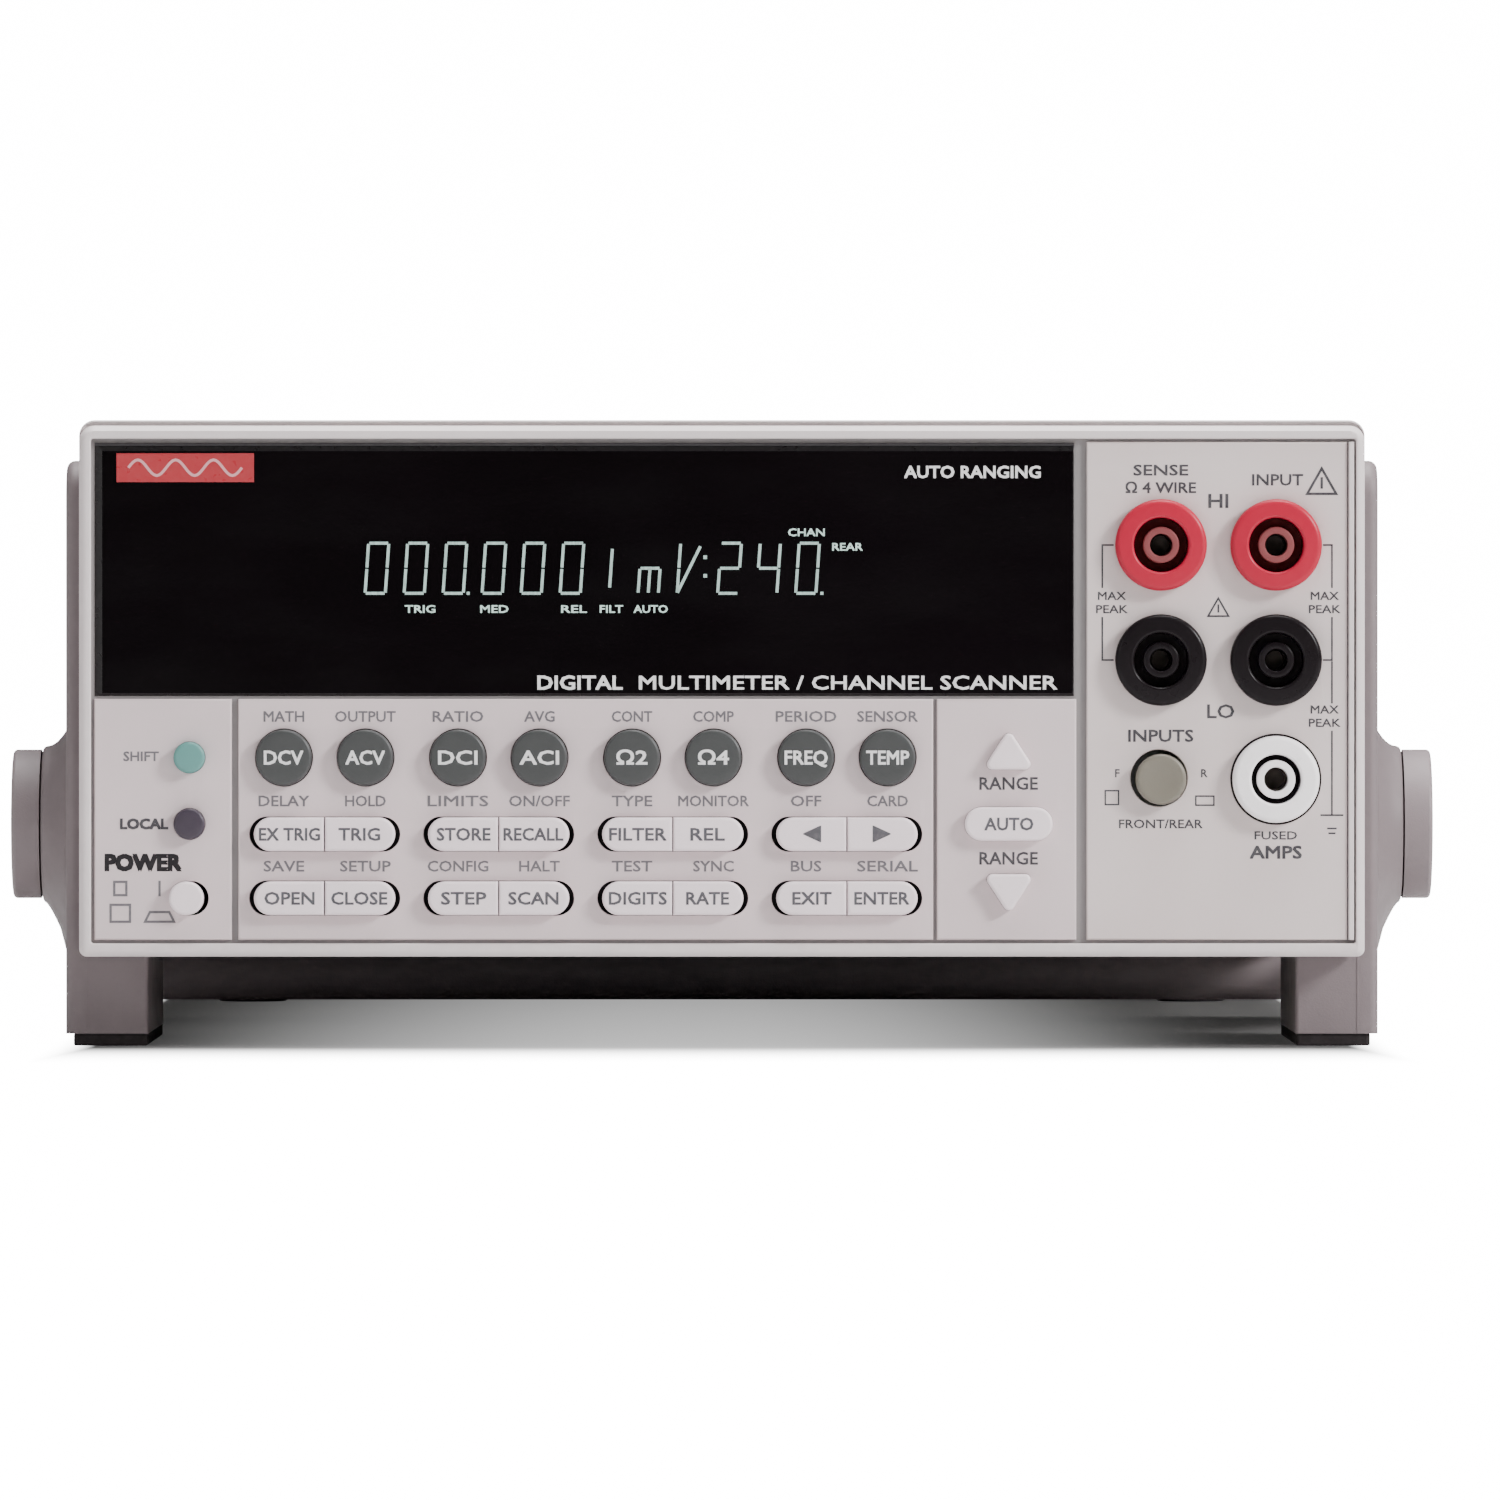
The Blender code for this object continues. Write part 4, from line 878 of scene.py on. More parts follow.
def digit_parts(sign, left):
    """The lit segments of one character cell, leaning a little to the right."""
    parts = []
    for name in SHAPES[sign]:
        ends = []
        for u, v in SEGMENTS[name]:
            z = v * DIGIT_HEIGHT
            ends.append(Vector((left + u * DIGIT_WIDTH + z * DIGIT_SLANT, DIGITS_LOW + z)))
        run = (ends[1] - ends[0]).normalized() * DIGIT_GAP
        parts.append(line(tuple(ends[0] + run), tuple(ends[1] - run), DIGIT_STROKE, DISPLAY_FRONT))
    return parts


def dot(x, z, size):
    half = size / 2
    return printed(rectangle(x - half, x + half, z - half, z + half), DISPLAY_FRONT)


def make_display():
    """A reading of 000.0001 mV on channel 240, and the small words around it."""
    unit = FIRST_DIGIT_X + 7 * DIGIT_PITCH
    signs = [(sign, FIRST_DIGIT_X + i * DIGIT_PITCH) for i, sign in enumerate("0000001")]
    signs += [("m", unit), ("V", unit + DIGIT_PITCH)]
    signs += [(sign, unit + (2.04 + i) * DIGIT_PITCH) for i, sign in enumerate("240")]
    point, colon, full_stop = 0.0005, 0.0006, 0.0005
    dots = [(FIRST_DIGIT_X + 2 * DIGIT_PITCH + DIGIT_WIDTH + 0.0008, 0, point)]
    dots += [(unit + 1.72 * DIGIT_PITCH, share, colon) for share in (0.35, 0.72)]
    dots.append((unit + 4.1 * DIGIT_PITCH + DIGIT_WIDTH + 0.0006, 0, full_stop))
    parts = [part for sign, left in signs for part in digit_parts(sign, left)]
    parts += [dot(x, DIGITS_LOW + DIGIT_HEIGHT * share, size) for x, share, size in dots]
    piece("display_digits", "display_segments", "case", *parts)

    cap, bold = 0.0012, 0.00004
    below, above = DIGITS_LOW - 0.0026, DIGITS_LOW + DIGIT_HEIGHT
    marks = (
        ("TRIG", -0.0500, below, 0.0050), ("MED", -0.0377, below, 0.0046), ("REL", -0.0245, below, 0.0042),
        ("FILT", -0.0183, below, 0.0038), ("AUTO", -0.0118, below, 0.0056),
        ("CHAN", 0.0140, above + 0.0018, 0.0060), ("REAR", 0.0208, above - 0.0006, 0.0050),
    )
    words = [(text, x, z, cap, width, bold) for text, x, z, width in marks]
    print_words("display_annunciators", "display_marks", "case", words, DISPLAY_FRONT)


def make_window_printing():
    right, title_z, cap = WINDOW_HIGH.x - 0.0028, WINDOW_LOW.z + 0.0022, 0.0022
    words = (
        ("DIGITAL", right - 0.0790, title_z, cap, 0.0140, 0.00008),
        ("MULTIMETER / CHANNEL SCANNER", right - 0.0346, title_z, cap, 0.0692, 0.00005),
        ("AUTO RANGING", right - 0.0140, WINDOW_HIGH.z - 0.0047, 0.0019, 0.0225, 0.00007),
    )
    print_words("window_printing", "ink_white", "case", words, WINDOW_LOW.y - 0.00002, slot="window_black")


def make_badge():
    """A plain red plate with a sine wave on it."""
    from_left, from_top, width, height = 0.0036, 0.0016, 0.0228, 0.0048
    left, right = WINDOW_LOW.x + from_left, WINDOW_LOW.x + from_left + width
    low, high = WINDOW_HIGH.z - from_top - height, WINDOW_HIGH.z - from_top
    face = WINDOW_LOW.y - 0.00025
    piece("badge", "badge_red", "case",
          slab(rectangle(left, right, low, high), face, WINDOW_LOW.y + 0.0001, 0.00015))
    count, waves, swing, thickness = 48, 3, 0.0013, 0.00045
    half = (right - left) / 2 - 0.0020
    start, length, centre = (left + right) / 2 - half, 2 * half, (low + high) / 2
    shares = [i / count for i in range(count + 1)]
    wave = [(start + length * share, centre + swing * sin(2 * pi * waves * share)) for share in shares]
    piece("badge_wave", "ink_pink", "case", *path(wave, thickness, face))


# ------------------------ keys
def make_key(name, outline, material, crown=0.0):
    """A key's cap, and under it the dark skirt that the gap round the key shows."""
    flat_inset, cap_back, skirt_front = KEY_EDGE + 0.0010, TILE_FRONT + 0.0007, TILE_FRONT + 0.0006
    levels = [(flat_inset, KEY_FACE)] if crown else []
    levels += [*rounding(KEY_EDGE, 6, at=KEY_FACE + crown), (0, cap_back)]
    piece(f"{name}_cap", material, name, loft(nested(outline, levels)), replaces=(name,))
    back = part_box(name)[1].y
    slack, foot, foot_front = 0.00005, 0.0007, back - 0.001
    skirt = [(slack, skirt_front), (slack, foot_front), (-foot, foot_front), (-foot, back)]
    piece(f"{name}_skirt", "key_skirt", name, loft(nested(outline, skirt)))


def half_pill(side):
    """Half of a pair of keys, on the left or the right of the slit between them."""
    half_slit = 0.00008
    end = arc((PILL_HALF_LENGTH - PILL_RADIUS, 0), PILL_RADIUS, -90, 90, 14)
    points = [(half_slit, -PILL_RADIUS), *end, (half_slit, PILL_RADIUS)]
    return points if side > 0 else [(-x, z) for x, z in reversed(points)]


def make_keys():
    for name in FUNCTION_KEYS:
        make_key(name, circle(ROUND_KEY_RADIUS, 56, key_centre(name)), "dark_key", 0.00008)
    for names, z in zip((UPPER_PILLS, LOWER_PILLS), PILL_ROWS):
        for i, name in enumerate(names):
            make_key(name, shifted(half_pill(1 if i % 2 else -1), PAIR_X[i // 2], z), "light_key")
    for name in ("key_shift", "key_local"):
        material = name.replace("key_", "") + "_key"
        make_key(name, circle(SMALL_KEY_RADIUS, 40, key_centre(name)), material, 0.00006)
    make_key("key_auto_range", shifted(pill(AUTO_HALF_LENGTH, PILL_RADIUS), RANGE_X, AUTO_Z), "light_key")
    for name in ("key_range_up", "key_range_down"):
        make_key(name, triangle(name), "light_key")


def make_power_button():
    low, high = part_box("power_button")
    outline = shifted(pill(POWER_HALF, PILL_RADIUS), POWER_X, POWER_Z)
    piece("power_button_cap", "light_key", "power_button",
          slab(outline, low.y, high.y, KEY_EDGE), replaces=("power_button",))
    keep("power_rod", "black_plastic")


def make_selector():
    """The round push button that picks the front or rear inputs, slightly hollow on its face."""
    low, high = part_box("input_selector")
    radius, stem, dish_radius, hollow = 0.0042, 0.0022, 0.0042 * 0.82, 0.00025
    shoulder = low.y + 0.0069
    shares = [i / 5 for i in range(6)]
    profile = [(dish_radius * share, low.y + hollow * (1 - share ** 2)) for share in shares]
    profile += rounding(0.0006, start=radius, inwards=-1, at=low.y)
    profile += [(radius, shoulder), (stem, shoulder), (stem, high.y), (0, high.y)]
    x, z = key_centre("input_selector")
    piece("input_selector_button", "selector_grey", "input_selector",
          turned(profile, (x, 0, z), 56), replaces=("input_selector",))


# ------------------------ jacks
PLUG_JACK_RADII = (0.0076, 0.0045, 0.0030, 0.00185)  # of the rim, the slot, the core and its bore
FUSE_JACK_RADII = (0.0072, 0.0041, 0.0032, 0.0020)


def disc(radius, front, back):
    """The profile of a plain disc."""
    return [(0, front), (radius, front), (radius, back), (0, back)]


def make_jack(name, material, core_material, floor_material):
    """A shrouded 4 mm socket: a rounded rim, the slot for a plug's shroud, the core and its contact."""
    low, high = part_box(name)
    x, z = key_centre(name)
    front, flange_back = low.y, TILE_FRONT - CLEAR
    turns = name == FUSE_JACK
    body = name if turns else "case"
    rim, slot_outer, core, bore = FUSE_JACK_RADII if turns else PLUG_JACK_RADII
    body_radius, slot_depth, bore_depth = 0.0068, 0.0130, 0.0120

    def add(suffix, finish, profile, segments, owner=body, **settings):
        piece(f"{name}_{suffix}", finish, owner, turned(profile, (x, 0, z), segments), **settings)

    outer = rounding(0.0009, 6, rim, -1, front + 0.0001)
    inner = rounding(0.0005, 5, slot_outer, 1, front)
    shell = [
        (0, high.y), (body_radius, high.y), (body_radius, flange_back), (rim, flange_back),
        *reversed(outer), *inner, (slot_outer, front + slot_depth), (0, front + slot_depth),
    ]
    add("body", material, shell, 72, replaces=(name,))
    core_front, core_back = front + 0.0006, front + slot_depth + 0.0002
    core_edge = rounding(0.0003, 4, core, -1, core_front)
    bore_edge = rounding(0.0002, 4, bore, 1, core_front)
    bore_back = front + bore_depth
    post = [
        (0, core_back), (core, core_back), *reversed(core_edge), *bore_edge, (bore, bore_back), (0, bore_back)
    ]
    add("core", core_material, post, 56)
    floor_front, floor_thickness, bite = front + 0.0045, 0.0004, 0.0002
    floor = disc(slot_outer - 0.0001, floor_front, floor_front + floor_thickness)
    hole = plain(circle(core - bite, 40, (x, z)), front, front + 0.01)
    add("slot_floor", floor_material, floor, 48, cuts=([hole],))
    inside, outside, lining_floor, lining_back = bore - 0.0003, bore - 0.0001, front + 0.0110, front + 0.0116
    lining = [
        (0, lining_floor), (inside, lining_floor), (inside, front + 0.0050),
        (outside, front + 0.0048), (outside, lining_back), (0, lining_back),
    ]
    add("contact", "contact_dark", lining, 40)
    if turns:
        passage = plain(circle(body_radius + 0.0001, 48, (x, z)), TILE_FRONT - 0.002, TILE_FRONT + 0.002)
        # painted shadow: a thin black ring behind the white jack's rim stands in for the shadow round it
        painted_shadow_ring = disc(0.00755, TILE_FRONT - 0.00012, TILE_FRONT + 0.0002)
        add("painted_shadow_ring", "jack_slot", painted_shadow_ring, 64, "case", cuts=([passage],))


# ------------------------ printing on the panel
def make_key_labels():
    """The words on the caps."""
    widths = {2: 0.0050, 3: 0.0064, 4: 0.0070}  # by the number of letters
    for name, text in zip(FUNCTION_KEYS, ("DCV", "ACV", "DCI", "ACI", "Ω2", "Ω4", "FREQ", "TEMP")):
        label = (text, *key_centre(name), 0.0022, widths[len(text)], 0.00007)
        print_words(f"{name}_label", "ink_white", name, [label], KEY_FACE, slot="jack_white")
    inwards = 0.0008  # words on the half pills sit a little towards the middle of the pair
    labels = (
        ("EX TRIG", 0.0100), ("TRIG", 0.0068), ("STORE", 0.0088), ("RECALL", 0.0098),
        ("FILTER", 0.0094), ("REL", 0.0056), ("◀", 0.0029), ("▶", 0.0029),
        ("OPEN", 0.0082), ("CLOSE", 0.0092), ("STEP", 0.0074), ("SCAN", 0.0082),
        ("DIGITS", 0.0095), ("RATE", 0.0070), ("EXIT", 0.0064), ("ENTER", 0.0090),
        ("AUTO", 0.0080),
    )
    shifts = [inwards, -inwards] * 8 + [0]
    names = (*UPPER_PILLS, *LOWER_PILLS, "key_auto_range")
    for name, (text, width), shift in zip(names, labels, shifts):
        x, z = key_centre(name)
        label = (text, x + shift, z, 0.0020, width, 0.00006)
        print_words(f"{name}_label", "ink_key", name, [label], KEY_FACE)


def make_shifted_labels():
    """The second functions, printed in grey above and below the keys."""
    cap, bold = 0.0017, 0.00004
    round_z = middle("key_dc_volts").z
    rows = (
        (round_z + 0.0068, ("MATH", "OUTPUT", "RATIO", "AVG", "CONT", "COMP", "PERIOD", "SENSOR")),
        (round_z - 0.0072, ("DELAY", "HOLD", "LIMITS", "ON/OFF", "TYPE", "MONITOR", "OFF", "CARD")),
        (PILL_ROWS[0] - 0.0053, ("SAVE", "SETUP", "CONFIG", "HALT", "TEST", "SYNC", "BUS", "SERIAL")),
    )
    words = [
        (text, key_centre(name)[0], z, cap, cap * len(text) * 0.98, bold)
        for z, texts in rows for name, text in zip(FUNCTION_KEYS, texts)
    ]
    shift_x, shift_z = key_centre("key_shift")
    words.append(("SHIFT", shift_x - 0.0080, shift_z + 0.0002, 0.0015, 0.0058, 0.00005))
    print_words("shifted_labels", "ink_grey", "case", words, TILE_FRONT)


SENSE_X, HIGH_Z = key_centre("sense_high_jack")
INPUT_X, LOW_Z = key_centre("input_low_jack")
BETWEEN_X = (SENSE_X + key_centre("input_high_jack")[0]) / 2
MID_Z = (HIGH_Z + LOW_Z) / 2
SELECT_X, SELECT_Z = key_centre("input_selector")


def make_panel_labels():
    local_x, local_z = key_centre("key_local")
    words = [
        ("LOCAL", local_x - 0.0075, local_z, 0.0016, 0.0078, 0.00011),
        ("RANGE", RANGE_X, AUTO_Z + 0.0067, 0.0020, 0.0096, 0.00005),
        ("RANGE", RANGE_X, AUTO_Z - 0.0057, 0.0020, 0.0096, 0.00005),
        ("SENSE", SENSE_X, HIGH_Z + 0.0124, 0.0017, 0.0090, 0.00005),
        ("Ω 4 WIRE", SENSE_X, HIGH_Z + 0.0095, 0.0017, 0.0116, 0.00005),
        ("INPUT", INPUT_X + 0.0003, HIGH_Z + 0.0108, 0.0018, 0.0084, 0.00005),
        ("HI", BETWEEN_X, HIGH_Z + 0.0073, 0.0022, 0.0032, 0.00007),
        ("LO", BETWEEN_X + 0.0004, LOW_Z - 0.0085, 0.0022, 0.0044, 0.00005),
        ("INPUTS", SELECT_X, SELECT_Z + 0.0072, 0.0019, 0.0107, 0.00006),
        ("FRONT/REAR", SELECT_X, SELECT_Z - 0.0074, 0.0014, 0.0138, 0.00003),
        ("FUSED", INPUT_X, SELECT_Z - 0.0093, 0.0013, 0.0070, 0.00003),
        ("AMPS", INPUT_X, SELECT_Z - 0.0121, 0.0020, 0.0085, 0.00008),
        ("F", SELECT_X - 0.0072, SELECT_Z + 0.0010, 0.0013, None, 0.00003),
        ("R", SELECT_X + 0.0072, SELECT_Z + 0.0010, 0.0013, None, 0.00003),
    ]
    right = INPUT_X + 0.0081
    for x, z in ((SENSE_X - 0.0081, MID_Z), (right, MID_Z), (right, LOW_Z - 0.0093)):
        words.append(("MAX", x, z + 0.0011, 0.0013, 0.0046, 0.00003))
        words.append(("PEAK", x, z - 0.0011, 0.0013, 0.0052, 0.00003))
    parts = bracket_lines() + push_symbols()
    parts += warning_mark(INPUT_X + 0.0076, HIGH_Z + 0.0104, 0.0024, 0.00042)
    parts += warning_mark(BETWEEN_X, MID_Z - 0.0009, 0.0017, 0.0003)
    print_words("panel_labels", "ink_dark", "case", words, TILE_FRONT, *parts)


def warning_mark(x, z, half, width):
    """A triangle with an upright stroke in it."""
    corners = [(x - half, z - half * 0.8), (x + half, z - half * 0.8), (x, z + half * 0.95)]
    upright = line((x, z - half * 0.45), (x, z + half * 0.35), width, TILE_FRONT)
    return path(corners, width, TILE_FRONT, closed=True) + [upright]


def bracket_lines():
    """Lines that tie each high jack to its low jack, and on the right run on down to the ground mark."""
    width, half_text, reach = 0.00028, 0.0024, 0.0078
    left_x, right_x = SENSE_X - 0.0097, INPUT_X + 0.0093
    end_z = LOW_Z - 0.0257
    runs = []
    for x, inner in ((left_x, SENSE_X - reach), (right_x, INPUT_X + reach)):
        runs += [
            [(inner, HIGH_Z), (x, HIGH_Z), (x, MID_Z + half_text)],
            [(x, MID_Z - half_text), (x, LOW_Z), (inner, LOW_Z)],
        ]
    for top, end in ((0.0002, 0.0072), (0.0117, 0.0257)):
        runs.append([(right_x, LOW_Z - top), (right_x, LOW_Z - end)])
    parts = [part for run in runs for part in path(run, width, TILE_FRONT)]
    for drop, half in ((0, 0.0019), (0.0022, 0.0008), (0.0030, 0.0006)):
        parts.append(line((right_x - half, end_z - drop), (right_x + half, end_z - drop), width, TILE_FRONT))
    return parts


def push_symbols():
    """Beside the push-push selector: its out and in positions."""
    parts = []
    for left, right, top, base in ((-0.0092, -0.0070, 0.0019, 0.0042), (0.0058, 0.0088, 0.0028, 0.0043)):
        box = rectangle(SELECT_X + left, SELECT_X + right, SELECT_Z - top, SELECT_Z - base)
        parts += path(box, 0.00025, TILE_FRONT, True)
    return parts


def make_power_printing():
    """The word POWER and, under it, a button's out and in positions, each with what it means."""
    left = LEFT_TILE[0] + 0.0019
    title = ("POWER", left + 0.0062, POWER_Z + 0.0059, 0.0025, 0.0124, 0.0002)
    print_words("power_label", "ink_black", "case", [title], TILE_FRONT)
    width, off_x, on_x = 0.0004, left + 0.0024, left + 0.0089
    outlines = [
        rectangle(off_x - half, off_x + half, POWER_Z + low, POWER_Z + high)
        for half, low, high in ((0.0010, 0.0005, 0.0027), (0.0016, -0.0039, -0.0011))
    ]
    lip, step, base, top = 0.0024, 0.0016, POWER_Z - 0.0039, POWER_Z - 0.0023
    outlines.append([(on_x - lip, base), (on_x + lip, base), (on_x + step, top), (on_x - step, top)])
    parts = [part for outline in outlines for part in path(outline, width, TILE_FRONT, True)]
    parts.append(line((on_x, POWER_Z + 0.0003), (on_x, POWER_Z + 0.0029), width, TILE_FRONT))
    piece("power_symbols", "ink_grey", "case", *parts)


# ======================== case
def screw(x, z, face, radius):
    """A pan-head screw with a six-sided recess, on a face that looks along +Y."""
    count, height, recess, flats = 36, 0.0012, 0.0008, radius * 0.42
    hexagon = []
    for i in range(count):
        turn = 2 * pi * i / count
        reach = flats * cos(pi / 6) / cos((turn % (pi / 3)) - pi / 6)
        hexagon.append((reach * cos(turn), reach * sin(turn)))
    outer = circle(radius, count)
    levels = [(outer, 0.0), (outer, height * 0.45)]
    levels += [(inset(outer, i), height - d) for i, d in reversed(rounding(height * 0.5, 4))]
    levels += [(hexagon, height), (hexagon, height - recess)]
    return loft([along_y(shifted(o, x, z), face + h) for o, h in levels])


def make_sleeve():
    """The folded and painted sleeve, with round-ended cooling slots on both sides."""
    corner, sheet, hem = 0.0030, 0.0012, 0.0004
    outer = rounded_rectangle(COVER_LOW.x, COVER_HIGH.x, COVER_LOW.z, COVER_HIGH.z, corner, 8)
    front, back = COVER_LOW.y, COVER_HIGH.y
    levels = [*rounding(hem, 3, at=front), *reversed(rounding(hem, 3, at=back, onwards=-1))]
    levels += [(sheet, back), (sheet, front)]
    count, pitch, first, past = 8, 0.0070, 0.0964, 0.002
    slot_z, half_height, half_width = 0.062, 0.016, 0.0014
    upright = [(z, y) for y, z in pill(half_height, half_width, 8)]
    slots = [
        plain(shifted(upright, first + i * pitch, slot_z), COVER_LOW.x - past, COVER_HIGH.x + past, along_x)
        for i in range(count)
    ]
    piece("sleeve", "cover_paint", "case", loft(nested(outer, levels), ring=True),
          replaces=("case_cover",), cuts=(slots,))


def make_rear_bezel():
    """The rear bumper, with a screw sunk in the middle of each side."""
    low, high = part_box("rear_bezel")
    side, base, outer_corner, inner_corner = 0.0080, 0.0075, 0.0032, 0.0024
    outer_edge, inner_edge, pocket_radius, pocket_depth, past = 0.0014, 0.0008, 0.0036, 0.0030, 0.002
    outline = rounded_rectangle(low.x, high.x, low.z, high.z, outer_corner, 8)
    inner = rounded_rectangle(low.x + side, high.x - side, low.z + base, high.z - base, inner_corner, 8)
    outer_rim = reversed(rounding(outer_edge, 6, at=high.y, onwards=-1))
    inner_rim = rounding(inner_edge, inwards=-1, at=high.y, onwards=-1)
    loops = nested(outline, [(0, low.y), *outer_rim]) + nested(inner, [*inner_rim, (0, low.y)])
    places = [(x, (low.z + high.z) / 2) for x in (low.x + side / 2, high.x - side / 2)]
    pockets = [plain(circle(pocket_radius, 32, at), high.y - pocket_depth, high.y + past) for at in places]
    piece("rear_bumper", "handle_grey", "case", loft(loops, ring=True),
          replaces=("rear_bezel",), cuts=(pockets,))
    heads = [screw(*at, high.y - pocket_depth - 0.0001, 0.0030) for at in places]
    piece("rear_bumper_screws", "screw_steel", "case", *heads)


def make_feet():
    """Turned feet at the rear, and flat pads under the ears."""
    pad_out = 0.0006  # as far out as the ear's rounded edge
    for label in ("left", "right"):
        name = f"rear_foot_{label}"
        low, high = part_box(name)
        radius, height, draft, flange = (high.x - low.x) / 2, high.z - low.z, 0.0006, 0.0030
        profile = [(0, 0), *rounding(0.0012, start=radius - draft, inwards=-1)]
        profile += [(radius, height - flange), (radius, height), (0, height)]
        centre = middle(name)
        foot = turned(profile, (centre.x, centre.y, 0), 48, "z")
        piece(f"{name}_rubber", "foot_rubber", "case", foot, replaces=(name,))
        name = f"{label}_ear_pad"
        low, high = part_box(name)
        left, right = (low.x - pad_out, high.x) if label == "left" else (low.x, high.x + pad_out)
        outline = rounded_rectangle(left, right, low.y, high.y, 0.0006, 4)
        pad = slab(outline, low.z, high.z + 0.0002, 0.0003, to=along_z)
        piece(f"{name}_rubber", "foot_rubber", "case", pad, replaces=(name,))


# ======================== ears and handle
HUB_RADIUS = 0.0125
PLATE_X = 0.1093  # the outer face of the ears' side plates
PIVOT = Vector(next(joint["pos_m"] for joint in frame["joints"] if joint["name"] == "carry_handle_pivot"))


def boss_loop(top_radius, bottom_radius, x):
    """A round loop about the pivot that grows towards its underside."""
    segments = 72
    points = []
    for i in range(segments):
        turn = 2 * pi * i / segments
        sag = (0.5 - 0.5 * sin(turn)) ** 2
        radius = top_radius + (bottom_radius - top_radius) * sag
        points.append((PIVOT.y + radius * cos(turn), PIVOT.z + radius * sin(turn)))
    return along_x(points, x)


def make_ears():
    """Cast side pieces: a plate with soft edges, a leg under the sleeve and the handle's flared boss."""
    inner, drop, bore_depth, past = COVER_HIGH.x + CLEAR, 0.0020, 0.0040, 0.002
    for label, side in (("left", -1), ("right", 1)):
        name = f"{label}_ear"
        low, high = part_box(name)
        leg_in, boss_end = sorted((abs(low.x), abs(high.x)))
        plate = rounded_rectangle(low.y, high.y, low.z - drop, high.z, 0.006, 8, 0.0016)
        boss = [boss_loop(top, bottom, side * x) for x, top, bottom in outer_flare(boss_end)]
        leg = rounded_rectangle(leg_in, inner + 0.0022, low.z - drop, COVER_LOW.z - CLEAR, 0.0009, 4)
        if side < 0:
            leg = [(-x, z) for x, z in reversed(leg)]
        bore = circle(0.0053, 48, (PIVOT.y, PIVOT.z))
        under = rectangle(*sorted((side * 0.09, side * 0.115)), low.y - past, high.y + past)
        # painted shade: the ears take the darker copy of the handle's grey
        piece(f"{name}_casting", "ear_grey", "case",
              slab(plate, side * PLATE_X, side * inner, 0.0014, to=along_x),
              replaces=(name,),
              joins=([slab(leg, low.y + 0.0001, high.y - 0.0001, 0.0006, back_edge=0.0006)], [loft(boss)]),
              cuts=([plain(bore, side * (boss_end - bore_depth), side * (boss_end + past), along_x)],
                    [plain(under, low.z - 0.006, low.z, along_z)]))


def outer_flare(end_x):
    """(x, top radius, bottom radius) from inside the plate to the boss's face: concave, then a soft rim."""
    steps = 7
    root = [(PLATE_X - 0.0012, 0.0178, 0.0224), (PLATE_X - 0.0001, 0.0174, 0.0218)]
    rim = [(end_x - 0.0002, 0.0129, 0.0131), (end_x, 0.0126, 0.0127)]
    reach = end_x - PLATE_X - 0.0006
    flare = []
    for i in range(1, steps + 1):
        share = i / steps
        top = 0.0131 + 0.0043 * (1 - share) ** 2
        flare.append((PLATE_X + reach * share, top, 0.0134 + 0.0084 * (1 - share) ** 1.2))
    return root + flare + rim


def make_handle():
    """The bail: two round hubs, arms that step in beside the case and the grip bar between their ends."""
    low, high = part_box("carry_handle")
    ear_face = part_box("right_ear")[1].x
    hub_outer, hub_inner = high.x, ear_face + CLEAR
    arm_inner, arm_outer = PLATE_X + 0.0005, ear_face + 0.0001
    bar_width, bar_height, half_arm = 0.022, 0.0086, 0.0075
    axis = Vector((PIVOT.y, PIVOT.z))
    bar = Vector((high.y - bar_width / 2, low.z + bar_height / 2))
    run = (bar - axis).normalized()
    rise = Vector((-run.y, run.x))
    reach = (bar - axis).length
    tip = bar_height / 2 - 0.0006
    stations = (  # distance along the arm, inner and outer x, half height, corner
        (0.0060, hub_inner, hub_outer - 0.0008, half_arm, 0.0005),
        (0.0240, hub_inner, hub_outer - 0.0008, half_arm, 0.0012),
        (0.0255, hub_inner - 0.0012, hub_outer - 0.0009, half_arm, 0.0014),
        (0.0275, arm_inner + 0.0006, hub_outer - 0.0014, half_arm, 0.0014),
        (0.0300, arm_inner, hub_outer - 0.0026, half_arm, 0.0014),
        (0.0330, arm_inner, arm_outer + 0.0012, half_arm, 0.0014),
        (0.0370, arm_inner, arm_outer, half_arm, 0.0014),
        (reach * 0.6, arm_inner, arm_outer, half_arm, 0.0014),
        (reach * 0.85, arm_inner, arm_outer, (half_arm + tip) / 2 + 0.0004, 0.0014),
        (reach + 0.0040, arm_inner, arm_outer, tip, 0.0010),
    )
    half_w, half_h = bar_width / 2, bar_height / 2
    grip = shifted(rounded_rectangle(-half_w, half_w, -half_h, half_h, 0.0040, 8), *bar)
    thickness, pin_length, pin_radius = hub_outer - hub_inner, 0.0036, 0.0050
    hub = [  # from the slightly hollow cap, round the rim and down to the end of the pin
        (0, 0.0003), (HUB_RADIUS * 0.62, 0.0003), (HUB_RADIUS * 0.68, 0.0),
        *rounding(0.0007, start=HUB_RADIUS, inwards=-1), (HUB_RADIUS, thickness),
        (pin_radius, thickness), (pin_radius, thickness + pin_length), (0, thickness + pin_length),
    ]
    joins = []
    for side in (-1, 1):
        profile = [(radius, side * (hub_outer - depth)) for radius, depth in hub]
        joins.append([turned(profile, (0, PIVOT.y, PIVOT.z), 72, "x")])
        loops = []
        for distance, inner, outer, half, corner in stations:
            section = rounded_rectangle(inner, outer, -half, half, corner, 4)
            places = [(x, axis + run * distance + rise * h) for x, h in section]
            loops.append([Vector((side * x, place.x, place.y)) for x, place in places])
        joins.append([loft(loops)])
    span = arm_outer + 0.0004
    piece("carry_handle_bail", "handle_grey", "carry_handle",
          slab(grip, -span, span, 0.0004, to=along_x, back_edge=0.0004),
          replaces=("carry_handle",), joins=joins)


